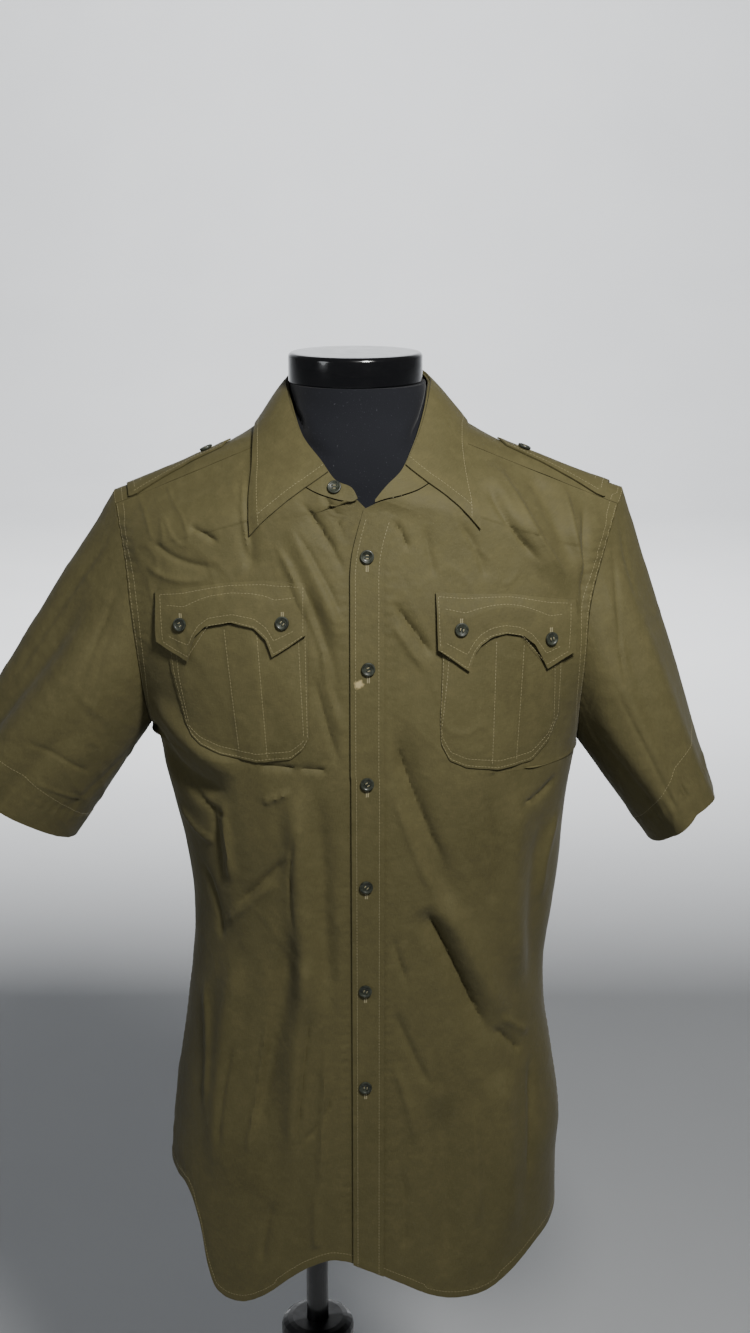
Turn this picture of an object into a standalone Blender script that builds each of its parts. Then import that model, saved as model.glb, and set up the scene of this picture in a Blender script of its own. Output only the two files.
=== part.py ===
# A short-sleeved button-down shirt on a limbless dress form with a round stand.
# The tables are in millimetres and the solids in metres. +Z is up and the front
# faces -Y. In the tables x is counted from the shirt's middle line, which hangs
# MIDDLE to the side of the pole. The origin is the middle of the base's underside.

import math

import bpy
import bmesh
import numpy as np
from mathutils import Vector
from mathutils.bvhtree import BVHTree
from mathutils.geometry import tessellate_polygon

MM = 0.001
COLUMNS = 18         # points across a front, from the placket to the side seam
LOW_ROWS = 9         # rows of a front between the hem and the waist
EVEN_ROWS = 6        # rows between the waist and the underarm
PLACKET_STEPS = [0, 0.6, 1.2, 1.8, 2.4, 3, 3.6, 4.2, 4.6, 4.88, 5]
NECK_ROW = LOW_ROWS + EVEN_ROWS + len(PLACKET_STEPS)   # rows that start on the placket
MIDDLE = 51.0        # the shirt's middle line, to the side of the pole
CLOTH = 1.2          # wall of a single cloth panel
GAP = 0.3            # space between two pieces that are sewn together
SEAM = 0.7           # space left where two walls meet at an angle
ARM_SEAM = 1.1       # the same where a sleeve is sewn on
PIT_SEAM = 1.6       # what is added under the arm, where the angle is sharp
ROUND = 2.4          # how square a level section of the body is
WAIST_Z = 930.0      # above this level rows are even, below it they follow the hem
PIT_Z = 1158.0       # level of the underarm
UNDERLAP = 1.7       # how far the covered front lies under the placket
BUTTON_D = 11.6
BUTTON_H = 2.4

# Level sections of the body: half width to each side, depth in front and behind.
SECTIONS = [
    # z, right side, left side, front depth, back depth
    (600, 197, 184, 119, 112), (680, 194, 183, 119, 111), (734, 190, 182, 118, 109),
    (780, 185, 184, 117, 106), (842, 177, 175, 116, 101), (894, 170, 167, 116, 97),
    (940, 164, 166, 117, 95), (997, 161, 172, 120, 97), (1047, 166, 177, 124, 100),
    (1096, 175, 181, 128, 104), (1140, 186, 187, 130, 107), (1158, 192, 190, 130, 108),
]

# The tail hem seen from the front, from the right side seam to the left one.
HEM = [
    # x, z
    (-200, 731), (-180, 728), (-169, 722), (-158, 692), (-152, 655), (-144, 630),
    (-121, 623), (-97, 635), (-72, 657), (-54, 670), (-30, 679), (-2, 670),
    (30, 655), (59, 640), (82, 634), (111, 636), (135, 649), (159, 668),
    (174, 675), (200, 693),
]
BACK_HEM = [
    # x, z
    (-205, 727), (-184, 721), (-164, 688), (-130, 640), (-80, 618), (0, 612),
    (80, 618), (130, 632), (160, 656), (180, 678), (205, 690),
]

# The armhole as a closed ring from the underarm forward, over the shoulder and
# down the back.
ARMHOLE = [
    # x right, z right, x left, z left, y
    (195, 1168, 190, 1152, 0),
    (194, 1178, 188, 1164, -32),
    (196, 1210, 187, 1198, -57),
    (199, 1256, 189, 1245, -74),
    (203, 1292, 192, 1294, -71),
    (209, 1331, 205, 1338, -51),
    (217, 1362, 216, 1364, -27),
    (223, 1379, 225, 1381, 0),
    (219, 1368, 220, 1370, 27),
    (210, 1342, 208, 1345, 54),
    (202, 1308, 197, 1308, 76),
    (198, 1267, 191, 1264, 79),
    (195, 1222, 188, 1212, 67),
    (195, 1184, 188, 1172, 38),
]

# Upper rows of a front: where the row starts on the placket or the neckline and
# how far along the armhole it ends.
FRONT_ROWS = [
    # start x, start y, start z, share of the armhole
    (13.5, -130, 1158, 0.00), (13.5, -129, 1208, 0.17), (13.5, -126, 1254, 0.34),
    (13.5, -119.5, 1300, 0.50), (12.5, -111, 1341, 0.63), (2.6, -102.5, 1381, 0.73),
]
NECK_ROWS = [
    # place along the collar from its end, share of the armhole
    (1.0, 0.765), (2.0, 0.80), (3.0, 0.85), (4.0, 0.90), (4.9, 0.95), (5.5, 1.00),
]
BACK_ROWS = [
    # middle y, middle z, share of the armhole from the underarm up the back
    (108, 1158, 0.00), (110, 1205, 0.30), (111, 1248, 0.55),
    (110, 1290, 0.80), (106, 1328, 1.00),
]
YOKE_FRONT_SHARE = 0.455     # where the yoke meets the front on the armhole
YOKE_BACK_SHARE = 0.66       # where it meets the back

# The collar from the right front end round the neck to the left front end.
COLLAR = [
    # seam x, y, z, fold x, y, z
    (-7, -102, 1389, -8, -101, 1392), (-14, -103, 1387, -13, -98, 1399),
    (-27, -102, 1389, -26, -92, 1404), (-46, -96, 1395, -38, -78, 1418),
    (-65, -80, 1406, -53, -57, 1434), (-78, -52, 1421, -62, -34, 1453),
    (-85, -22, 1436, -67, -10, 1468), (-84, 10, 1444, -68, 15, 1475),
    (-70, 42, 1451, -59, 40, 1481), (-40, 62, 1457, -35, 57, 1486),
    (-6, 69, 1459, -8, 62, 1487), (28, 62, 1457, 20, 57, 1486),
    (60, 42, 1451, 43, 41, 1481), (76, 12, 1444, 53, 17, 1475),
    (79, -20, 1436, 52, -8, 1468), (73, -50, 1421, 49, -27, 1455),
    (61, -77, 1406, 44, -46, 1440), (46, -94, 1397, 38, -66, 1427),
    (30, -101, 1392, 29, -86, 1411), (16, -103, 1389, 17, -96, 1400),
    (7, -103, 1386, 7, -102, 1389),
]
# The outer edge of the collar's fall, from one point round the back to the other.
FALL_EDGE = [
    # place along the collar, x, y, z
    (2.45, -97, -96, 1357),
    (3.3, -97, -84, 1380),
    (4.5, -97, -58, 1410),
    (6.0, -97, -27, 1433),
    (7.2, -95, 8, 1441),
    (8.4, -77, 50, 1446),
    (9.3, -46, 74, 1447),
    (10.0, -6, 81, 1448),
    (10.9, 38, 74, 1447),
    (11.9, 70, 50, 1446),
    (13.0, 87, 8, 1441),
    (14.2, 86, -20, 1435),
    (15.5, 86, -48, 1417),
    (16.8, 89, -76, 1390),
    (17.75, 94, -98, 1362),
]

# A sleeve's hem as a flat oval: middle, reach from the middle to the outer
# corner, half depth front to back.
SLEEVE_HEM = {
    # and how far the front of the hem stands above the flat oval
    "right": ((-331, 2, 1086), (-60, 29), 66, 14),
    "left": ((288, 0, 1084), (28, 27), 80, 13),
}

# The largest folds as three points in the front view, with width and height of
# the swell, minus for a trough.
FRONT_FOLDS = [
    # x, z, x, z, x, z, width, height
    (-102, 1432, -100, 1359, -93, 1329, 7, -2.0),
    (-67, 1373, -40, 1320, -16, 1265, 8, 2.5),
    (-51, 1320, -34, 1260, -18, 1199, 7, -2.5),
    (-192, 1187, -169, 1146, -109, 1133, 10, -5.0),
    (-185, 1215, -151, 1175, -100, 1157, 10, 4.0),
    (-59, 1155, -58, 1039, -49, 902, 10, 5.0),
    (-40, 1141, -38, 1039, -33, 922, 8, -3.0),
    (-66, 1009, -82, 911, -106, 785, 11, -5.0),
    (-55, 990, -62, 891, -72, 748, 9, 3.5),
    (-114, 978, -130, 879, -142, 735, 11, 4.0),
    (95, 1415, 128, 1370, 175, 1300, 9, 4.0),
    (136, 1408, 157, 1372, 179, 1325, 8, -3.0),
    (18, 1223, 50, 1105, 81, 1033, 10, -3.5),
    (46, 1033, 73, 979, 113, 879, 9, -5.0),
    (62, 1038, 92, 984, 130, 889, 10, 4.0),
    (138, 1147, 126, 1048, 143, 929, 12, 4.0),
    (160, 1120, 150, 1014, 158, 904, 9, -3.0),
    (121, 864, 127, 784, 133, 657, 12, 4.0),
    (66, 850, 71, 757, 77, 652, 12, -4.0),
]
BACK_FOLDS = [
    # x, z, x, z, x, z, width, height
    (-150, 1290, -120, 1180, -70, 1060, 12, 4.0),
    (150, 1290, 118, 1180, 72, 1065, 12, 4.0),
    (-60, 1070, -58, 900, -66, 640, 14, 4.5),
    (-20, 1080, -14, 900, -10, 630, 13, -4.5),
    (32, 1075, 34, 900, 30, 630, 14, 4.5),
    (80, 1040, 84, 880, 86, 640, 13, -4.0),
    (128, 1000, 130, 860, 134, 660, 13, 4.0),
    (-118, 1010, -120, 860, -126, 650, 13, -4.0),
]
SLEEVE_FOLDS = {
    "right": [
        # place round the ring, place down the sleeve, twice, width, height
        (0.38, 0.30, 0.41, 0.98, 0.030, -7.0),
        (0.30, 0.25, 0.33, 0.95, 0.035, 3.5),
        (0.22, 0.45, 0.26, 0.98, 0.028, -4.5),
        (0.46, 0.20, 0.48, 0.95, 0.030, 3.0),
        (0.66, 0.20, 0.62, 0.95, 0.035, -4.0),
        (0.80, 0.30, 0.78, 0.95, 0.035, 3.5),
    ],
    "left": [
        (0.31, 0.25, 0.28, 0.95, 0.032, -4.0),
        (0.38, 0.15, 0.37, 0.90, 0.030, 3.0),
        (0.17, 0.20, 0.20, 0.90, 0.030, 3.0),
        (0.64, 0.20, 0.66, 0.95, 0.035, -4.0),
        (0.80, 0.30, 0.78, 0.95, 0.035, 3.5),
    ],
}

# Patch pieces as outlines in the front view.
POCKETS = {
    "right": [(-121, 1290), (2.5 - 57, 1296), (-55 + 5, 1296), (-49.5, 1253),
              (-49, 1190), (-62, 1172), (-93, 1167), (-125, 1170), (-145, 1178),
              (-155, 1192), (-166, 1240), (-170, 1290)],
    "left": [(63, 1300), (167, 1292), (166, 1235), (166, 1200), (157, 1176),
             (144, 1162), (112, 1158), (80, 1164), (66, 1176), (62, 1205)],
}
FLAPS = {
    "right": [(-178, 1307), (-115, 1319), (-84, 1322), (-50, 1321), (-50, 1279),
              (-78, 1260), (-82, 1274), (-92, 1283), (-112, 1287), (-134, 1282),
              (-144, 1273), (-149, 1252), (-176, 1266)],
    "left": [(57, 1313), (120, 1309), (176, 1299), (175, 1256), (151, 1244),
             (147, 1254), (140, 1266), (130, 1274), (116, 1277), (104, 1275),
             (93, 1268), (88, 1260), (85, 1247), (59, 1266)],
}
# Shoulder straps as outlines seen from above.
STRAPS = {
    "right": [(-118, -5), (-125, -17), (-162, -21), (-206, -24), (-213, 9),
              (-170, 11), (-127, 9)],
    "left": [(113, -5), (120, -17), (160, -21), (206, -24), (215, 10),
             (170, 12), (123, 9)],
}

# Buttons: name, place seen from the front (or from above on the straps).
FRONT_BUTTONS = [(0.5, 1343), (1.5, 1251), (0.5, 1151), (-0.5, 1055), (-1.5, 953),
                 (-1.5, 857)]
FLAP_BUTTONS = [("right", -157, 1283), ("right", -70, 1289), ("left", 79, 1283),
                ("left", 156, 1270)]
STRAP_BUTTONS = [("right", -140, -8), ("left", 137, -8)]

# The dress form and its stand.
CAP_R = 58.3
CAP_H = 25.0
CAP_TOP = 1500.0
NECK_X = -10.0       # the neck stands a little to the side of the shirt's middle
POLE_D = 22.0
KNOB_D = 73.0
KNOB_TOP = 533.0
KNOB_H = 62.0
BASE_D = 340.0
BASE_H = 9.0
HUB_D = 58.0
HUB_H = 42.0
FORM_BOTTOM = 705.0
FORM_ROWS = [
    # z, half width, front depth, back depth, x of the middle, closeness
    (705, 112, 62, 60, 0, 8),
    (712, 128, 76, 72, 0, 8),
    (735, 150, 92, 86, 0, 8),
    (790, 160, 100, 92, 0, 8),
    (850, 156, 99, 88, 0, 8),
    (910, 148, 98, 84, 0, 8),
    (960, 144, 99, 84, 0, 8),
    (1020, 149, 104, 88, 0, 8),
    (1080, 158, 110, 92, 0, 8),
    (1140, 166, 113, 96, 0, 8),
    (1200, 171, 112, 98, 0, 8),
    (1260, 176, 108, 98, 0, 8),
    (1310, 180, 104, 95, 0, 6),
    (1345, 182, 99, 88, 0, 4),
    (1370, 178, 94, 80, -1, 3),
    (1388, 162, 88, 76, -2, 2.5),
    (1400, 142, 84, 72, -3, 3.0),
    (1412, 118, 79, 69, -4, 3.2),
    (1424, 96, 74, 66, -5, 3.4),
    (1436, 80, 68, 62, -6, 3.4),
    (1448, 68, 63, 60, -7, 3.0),
    (1460, 62, 60, 59, -7, 2.4),
    (1474.6, 59, 58, 58, -8, 1.8),
]

COLOURS = {
    "cloth": ((0.178, 0.148, 0.066, 1.0), 0.9),
    "button": ((0.020, 0.022, 0.018, 1.0), 0.3),
    "form": ((0.016, 0.017, 0.020, 1.0), 0.95),
    "cap": ((0.012, 0.012, 0.014, 1.0), 0.12),
    "metal": ((0.030, 0.030, 0.033, 1.0), 0.35),
}


def clear_scene():
    for item in list(bpy.data.objects):
        bpy.data.objects.remove(item, do_unlink=True)


def along(knots, values, t):
    """Smooth value of a table at t: cubic pieces through its rows."""
    k = np.asarray(knots, float)
    v = np.asarray(values, float)
    t = np.clip(np.asarray(t, float), k[0], k[-1])
    flat = v.ndim == 1
    if flat:
        v = v[:, None]
    m = np.empty_like(v)
    m[1:-1] = (v[2:] - v[:-2]) / (k[2:] - k[:-2])[:, None]
    m[0] = (v[1] - v[0]) / (k[1] - k[0])
    m[-1] = (v[-1] - v[-2]) / (k[-1] - k[-2])
    i = np.clip(np.searchsorted(k, t, side="right") - 1, 0, len(k) - 2)
    h = (k[i + 1] - k[i])[..., None]
    s = ((t - k[i]))[..., None] / h
    a = (2 * s ** 3 - 3 * s ** 2 + 1) * v[i] + (s ** 3 - 2 * s ** 2 + s) * h * m[i]
    b = (-2 * s ** 3 + 3 * s ** 2) * v[i + 1] + (s ** 3 - s ** 2) * h * m[i + 1]
    out = a + b
    return out[..., 0] if flat else out


def lengths(points):
    step = np.linalg.norm(np.diff(points, axis=0), axis=1)
    return np.concatenate([[0.0], np.cumsum(step)])


def section(z):
    """Half widths and depths of the body at a level."""
    table = np.array(SECTIONS, float)
    got = along(table[:, 0], table[:, 1:], z)
    return got[..., 0], got[..., 1], got[..., 2], got[..., 3]


def hem_height(table, x):
    table = np.array(table, float)
    return along(table[:, 0], table[:, 1], x)


def armhole(side, t):
    """Point on the armhole ring: 0 underarm, about 0.5 shoulder, 1 underarm."""
    table = np.array(ARMHOLE, float)
    if side == "right":
        ring = np.stack([-table[:, 0], table[:, 4], table[:, 1]], 1)
    else:
        ring = np.stack([table[:, 2], table[:, 4], table[:, 3]], 1)
    wide = np.concatenate([ring[-3:], ring, ring[:4]])
    run = lengths(wide)
    total = run[3 + len(ring)] - run[3]
    knots = (run - run[3]) / total
    return along(knots, wide, np.asarray(t, float))


def body_arc(x0, y0, x1, y1, count, first=None):
    """Even points on the oval through two points of a level section."""
    n = ROUND
    rows = np.array([[abs(x0) ** n, abs(y0) ** n], [abs(x1) ** n, abs(y1) ** n]])
    a_inv, b_inv = np.linalg.solve(rows, np.ones(2))
    a = a_inv ** (-1 / n)
    b = b_inv ** (-1 / n)
    start = math.atan2((abs(x0) / a) ** (n / 2), (abs(y0) / b) ** (n / 2))
    end = math.atan2((abs(x1) / a) ** (n / 2), (abs(y1) / b) ** (n / 2))
    start = start if x0 >= 0 else -start
    angle = np.linspace(start, end, 400)
    s, c = np.sin(angle), np.cos(angle)
    x = a * np.sign(s) * np.abs(s) ** (2 / n)
    y = b * np.abs(c) ** (2 / n)
    run = lengths(np.stack([x, y], 1))
    if first is None:
        place = np.linspace(0, run[-1], count)
    else:
        place = np.concatenate([first, np.linspace(first[-1], run[-1], count - len(first) + 1)[1:]])
    return np.interp(place, run, x), np.interp(place, run, y), place / run[-1]


def fold_height(folds, x, z):
    """Height of the swells and troughs at points of a front view."""
    out = np.zeros_like(x)
    for x0, z0, x1, z1, x2, z2, width, height in folds:
        s = np.linspace(0, 1, 9)
        px = (1 - s) ** 2 * x0 + 2 * s * (1 - s) * (2 * x1 - (x0 + x2) / 2) + s ** 2 * x2
        pz = (1 - s) ** 2 * z0 + 2 * s * (1 - s) * (2 * z1 - (z0 + z2) / 2) + s ** 2 * z2
        best = np.full(x.shape, 1e9)
        where = np.zeros(x.shape)
        for i in range(8):
            dx, dz = px[i + 1] - px[i], pz[i + 1] - pz[i]
            f = np.clip(((x - px[i]) * dx + (z - pz[i]) * dz) / (dx * dx + dz * dz), 0, 1)
            d = np.hypot(x - px[i] - f * dx, z - pz[i] - f * dz)
            where = np.where(d < best, (i + f) / 8, where)
            best = np.minimum(d, best)
        fade = np.clip(where / 0.25, 0, 1) * np.clip((1 - where) / 0.25, 0, 1)
        fade = fade * fade * (3 - 2 * fade)
        out += height * fade * np.exp(-(best / width) ** 2)
    return out


def side_swell(distance, x, z, where):
    """The right side seam lies in, and the layers beside it stand out."""
    level = np.clip((z - 715) / 40, 0, 1) * np.clip((915 - z) / 110, 0, 1)
    level = level * level * (3 - 2 * level) * (x < 0)
    seam = -3.5 * np.exp(-(distance / 9) ** 2)
    far, wide, tall = (20, 10, 1.5) if where == "front" else (26, 15, 5.5)
    return level * (seam + tall * np.exp(-((distance - far) / wide) ** 2))


def grid_normals(grid, outward, ring=False):
    """Normals of a grid of points, turned to the side that outward names."""
    du = np.gradient(grid, axis=1)
    if ring:
        du = (np.roll(grid, -1, axis=1) - np.roll(grid, 1, axis=1)) / 2
    dv = np.gradient(grid, axis=0)
    n = np.cross(du, dv)
    n /= np.maximum(np.linalg.norm(n, axis=2, keepdims=True), 1e-9)
    if np.mean(np.sum(n * outward(grid), axis=2)) < 0:
        n = -n
    return n


def from_axis(grid):
    """Direction away from the body's upright middle."""
    out = grid * np.array([1.0, 1.6, 0.0])
    out[..., 2] = np.where(grid[..., 2] > 1380, 60.0, 0.0)
    return out


def step_in(points, other, amount):
    """Points moved towards others by a fixed amount, for the space at a seam."""
    d = other - points
    return points + d / np.linalg.norm(d, axis=-1, keepdims=True) * amount


def front_rows(side):
    """Rows of one front from the hem up to the yoke."""
    sign = -1.0 if side == "right" else 1.0
    table = np.array(FRONT_ROWS, float)
    neck = np.array(NECK_ROWS, float)
    grid = []
    first = np.array([0.0, 10.0, 20.0, 28.0])
    for w in np.linspace(0, 1, LOW_ROWS + 1)[:-1]:
        level = np.full(COLUMNS, 700.0 + (WAIST_Z - 700) * w)
        for _ in range(3):
            widths = section(level)
            wide = widths[0] if side == "right" else widths[1]
            deep = widths[2]
            x, y, f = body_arc(-13.0, deep.mean(), wide.mean(), 0.01, COLUMNS, first)
            x = x * (wide / wide.mean()) ** np.clip(x / wide.mean(), 0, 1)
            y = y * deep / deep.mean()
            hem = hem_height(HEM, sign * x)
            level = hem + (WAIST_Z - hem) * w
        grid.append(np.stack([sign * x, -y, level], 1))
    for z in np.linspace(WAIST_Z, PIT_Z, EVEN_ROWS + 1)[:-1]:
        widths = section(z)
        wide = float(widths[0] if side == "right" else widths[1])
        x, y, f = body_arc(-13.0, float(widths[2]), wide, 0.01, COLUMNS, first)
        grid.append(np.stack([sign * x, -y, np.full(COLUMNS, z)], 1))
    starts = []
    for k in PLACKET_STEPS:
        x0, y0, z0, share = along(np.arange(len(table)), table, k)
        x0 = (12.0 if k < 5 else 0.0) if side == "right" else x0
        starts.append((-x0, y0, z0, share, first))
    for place, share in neck:
        seam = collar_lines(place if side == "right" else 20.0 - place)[0]
        starts.append((sign * seam[0], seam[1], seam[2], share, first * 0.5))
    for x0, y0, z0, share, begin in starts:
        end = armhole(side, share * YOKE_FRONT_SHARE)
        x, y, f = body_arc(x0, y0, abs(end[0]), min(end[1], -0.01), COLUMNS, begin)
        level = max(x0, 16.0)
        z = z0 + (end[2] - z0) * np.clip((x - level) / (abs(end[0]) - level), 0, 1)
        grid.append(np.stack([sign * x, -y, z], 1))
    return np.array(grid)


def front_panel(side):
    grid = front_rows(side)
    normals = grid_normals(grid, from_axis)
    x, z = grid[..., 0], grid[..., 2]
    height = fold_height(FRONT_FOLDS, x, z)
    run = np.linalg.norm(np.diff(grid, axis=1), axis=2)
    run = np.concatenate([np.zeros((len(grid), 1)), np.cumsum(run, axis=1)], axis=1)
    inner = np.clip((np.abs(x) - 15) / 14, 0, 1)
    outer = np.clip((run[:, -1:] - run) / 14, 0, 1)
    top = np.clip((len(grid) - 1 - np.arange(len(grid))) / 2.0, 0, 1)[:, None]
    height = height * inner * outer * top + side_swell(run[:, -1:] - run, x, z, "front")
    if side == "right":
        height = height - UNDERLAP * (1 - np.clip((np.abs(x) - 16) / 11, 0, 1))
    grid = grid + normals * height[..., None]
    return grid, grid_normals(grid, from_axis)


def back_panel():
    half = 12
    rows = []
    for w in np.linspace(0, 1, 8)[:-1]:
        rows.append(("low", w))
    for z in np.linspace(WAIST_Z, PIT_Z, 6)[:-1]:
        rows.append(("even", z))
    table = np.array(BACK_ROWS, float)
    for k in np.linspace(0, 4, 8):
        rows.append(("high", k))
    grid = []
    for kind, k in rows:
        sides = {}
        for side in ("right", "left"):
            if kind == "high":
                y0, z0, share = along(np.arange(len(table)), table, k)
                end = armhole(side, 1 - share * (1 - YOKE_BACK_SHARE))
                x, y, f = body_arc(0.0, y0, abs(end[0]), max(end[1], 0.01), half + 1)
                z = z0 + (end[2] - z0) * x / x[-1]
            else:
                if kind == "low":
                    level = np.full(half + 1, 700.0 + (WAIST_Z - 700) * k)
                    for _ in range(3):
                        widths = section(level)
                        wide = widths[0] if side == "right" else widths[1]
                        deep = widths[3]
                        x, y, f = body_arc(0.0, deep.mean(), wide.mean(), 0.01, half + 1)
                        x = x * (wide / wide.mean()) ** np.clip(x / wide.mean(), 0, 1)
                        y = y * deep / deep.mean()
                        sign = -1.0 if side == "right" else 1.0
                        hem = hem_height(BACK_HEM, sign * x)
                        level = hem + (WAIST_Z - hem) * k
                    z = level
                else:
                    widths = section(k)
                    wide = float(widths[0] if side == "right" else widths[1])
                    x, y, f = body_arc(0.0, float(widths[3]), wide, 0.01, half + 1)
                    z = np.full(half + 1, k)
            sign = -1.0 if side == "right" else 1.0
            sides[side] = np.stack([sign * x, y, z], 1)
        grid.append(np.concatenate([sides["right"][::-1], sides["left"][1:]]))
    grid = np.array(grid)
    normals = grid_normals(grid, from_axis)
    height = fold_height(BACK_FOLDS, grid[..., 0], grid[..., 2])
    wide = np.abs(grid[:, -1:, 0])
    side_fade = np.clip((wide - np.abs(grid[..., 0])) / 16, 0, 1)
    top = np.clip((len(grid) - 1 - np.arange(len(grid))) / 2.0, 0, 1)[:, None]
    run = np.linalg.norm(np.diff(grid, axis=1), axis=2)
    run = np.concatenate([np.zeros((len(grid), 1)), np.cumsum(run, axis=1)], axis=1)
    height = height * side_fade * top
    height = height + side_swell(np.minimum(run, run[:, -1:] - run), grid[..., 0], grid[..., 2], "back")
    grid = grid + normals * height[..., None]
    return grid, grid_normals(grid, from_axis)


def collar_lines(t):
    table = np.array(COLLAR, float)
    got = along(np.arange(len(table)), table, t)
    return got[..., :3], got[..., 3:]


def yoke_panel(left_front, right_front, back):
    """The yoke from the neckline out to the fronts, armholes and back."""
    shoulder = 8
    middle = 20
    outer, inner = [], []
    ring = np.linspace(YOKE_FRONT_SHARE, YOKE_BACK_SHARE, shoulder + 1)
    right_outer = armhole("right", ring)
    left_outer = armhole("left", ring)
    back_top = back[-1]
    run = lengths(back_top)
    even = np.linspace(0, run[-1], middle + 1)
    back_line = np.stack([np.interp(even, run, back_top[:, i]) for i in range(3)], 1)
    outer = np.concatenate([right_outer, back_line[1:-1], left_outer[::-1]])
    t = np.concatenate([
        np.linspace(5.5, 8.0, shoulder + 1), np.linspace(8.0, 12.0, middle + 1)[1:-1],
        np.linspace(12.0, 14.5, shoulder + 1)])
    inner = collar_lines(t)[0]
    rows = []
    for v in np.linspace(0, 1, 8):
        rows.append(inner * (1 - v) + outer * v)
    grid = np.array(rows)
    v = np.linspace(0, 1, 8)[:, None]
    lift = np.sin(math.pi * v) * np.where(grid[..., 1] > 30, (grid[..., 1] - 30) / 60, 0)
    normals = grid_normals(grid, lambda g: np.broadcast_to([0.0, 0.4, 1.0], g.shape))
    grid = grid + normals * (lift * 7.0)[..., None]
    cells = len(t)
    for front, column, step in ((right_front, 0, 1), (left_front, -1, -1)):
        run = lengths(front[-1])
        even = np.linspace(0, run[-1], len(grid))
        edge = np.stack([np.interp(even, run, front[-1][:, i]) for i in range(3)], 1)
        move = edge - grid[:, column] + np.array([0.0, 1.0, 0.15]) * SEAM
        for i in range(4):
            grid[:, column + step * i] += move * (1 - i / 4)
    last = grid[-1, shoulder:cells - shoulder].copy()
    grid[-1, shoulder:cells - shoulder] = step_in(last, grid[-2, shoulder:cells - shoulder], SEAM)
    return grid, grid_normals(grid, lambda g: np.broadcast_to([0.0, 0.4, 1.0], g.shape))


def sleeve_ring(side, t):
    """The sleeve's hem ring, matched to the armhole ring."""
    centre, reach, depth, rise = SLEEVE_HEM[side]
    c = np.cos(2 * math.pi * t)
    s = np.sin(2 * math.pi * t)
    front = np.clip(s, 0, 1) ** 2
    x = centre[0] - reach[0] * c
    y = centre[1] - depth * s
    z = centre[2] - reach[1] * c + rise * front
    return np.stack([x, y, z], 1)


def sleeve_panel(side):
    around = 28
    down = 9
    t = np.arange(around) / around
    top = armhole(side, t)
    low = sleeve_ring(side, t)
    middle = top.mean(axis=0)
    under = np.clip(np.cos(2 * math.pi * t), 0, 1)[:, None] ** 3
    top = top + (low - top) / np.linalg.norm(low - top, axis=1, keepdims=True) * ARM_SEAM
    sign = -1.0 if side == "right" else 1.0
    top = top + under * np.array([sign * PIT_SEAM, 0, 0.4])
    rows = []
    for v in np.linspace(0, 1, down + 1):
        ring = top * (1 - v) + low * v
        ring[:, 1] *= 1 + 0.10 * math.sin(math.pi * v)
        rows.append(ring)
    grid = np.array(rows)
    centre = grid.mean(axis=1, keepdims=True)
    normals = grid_normals(grid, lambda g: g - centre, ring=True)
    height = np.zeros(grid.shape[:2])
    v = np.linspace(0, 1, down + 1)[:, None]
    for t0, v0, t1, v1, width, tall in SLEEVE_FOLDS[side]:
        f = np.clip((v - v0) / (v1 - v0), 0, 1)
        line = t0 + (t1 - t0) * f
        fade = np.clip((v - v0 + 0.18) / 0.3, 0, 1)
        height = height + tall * fade * np.exp(-((t[None, :] - line) / width) ** 2)
    height = height * np.clip(v / 0.12, 0, 1)
    grid = grid + normals * height[..., None]
    return grid, grid_normals(grid, lambda g: g - g.mean(axis=1, keepdims=True), ring=True)


def to_metres(points):
    out = np.array(points, float)
    out[:, 0] += MIDDLE
    return out * MM


def solid(name, verts, faces, material, smooth=True):
    mesh = bpy.data.meshes.new(name)
    mesh.from_pydata([tuple(p) for p in to_metres(verts)], [], [list(map(int, f)) for f in faces])
    work = bmesh.new()
    work.from_mesh(mesh)
    bmesh.ops.remove_doubles(work, verts=work.verts, dist=1e-6)
    bmesh.ops.triangulate(work, faces=work.faces)
    bmesh.ops.recalc_face_normals(work, faces=work.faces)
    for face in work.faces:
        face.smooth = smooth
    work.to_mesh(mesh)
    work.free()
    mesh.set_sharp_from_angle(angle=math.radians(40))
    item = bpy.data.objects.new(name, mesh)
    bpy.context.scene.collection.objects.link(item)
    item.data.materials.append(material)
    return item


def wall(name, grid, normals, material, thick=CLOTH, ring=False, shift=0.0):
    """A cloth wall on a grid of points; with ring its columns close round."""
    rows, cols = grid.shape[:2]
    outer = grid + normals * (shift + thick / 2)
    inner = grid + normals * (shift - thick / 2)
    verts = np.concatenate([outer.reshape(-1, 3), inner.reshape(-1, 3)])
    base = rows * cols
    faces = []
    last = cols if ring else cols - 1
    for r in range(rows - 1):
        for c in range(last):
            a, b = r * cols + c, r * cols + (c + 1) % cols
            d, e = (r + 1) * cols + c, (r + 1) * cols + (c + 1) % cols
            faces += [(a, b, e), (a, e, d)]
            faces += [(base + a, base + e, base + b), (base + a, base + d, base + e)]
    for c in range(last):
        a, b = c, (c + 1) % cols
        faces.append((a, base + a, base + b, b))
        a, b = (rows - 1) * cols + c, (rows - 1) * cols + (c + 1) % cols
        faces.append((a, b, base + b, base + a))
    if not ring:
        for r in range(rows - 1):
            a, b = r * cols, (r + 1) * cols
            faces.append((a, b, base + b, base + a))
            a, b = r * cols + cols - 1, (r + 1) * cols + cols - 1
            faces.append((a, base + a, base + b, b))
    return solid(name, verts, faces, material)


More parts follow.
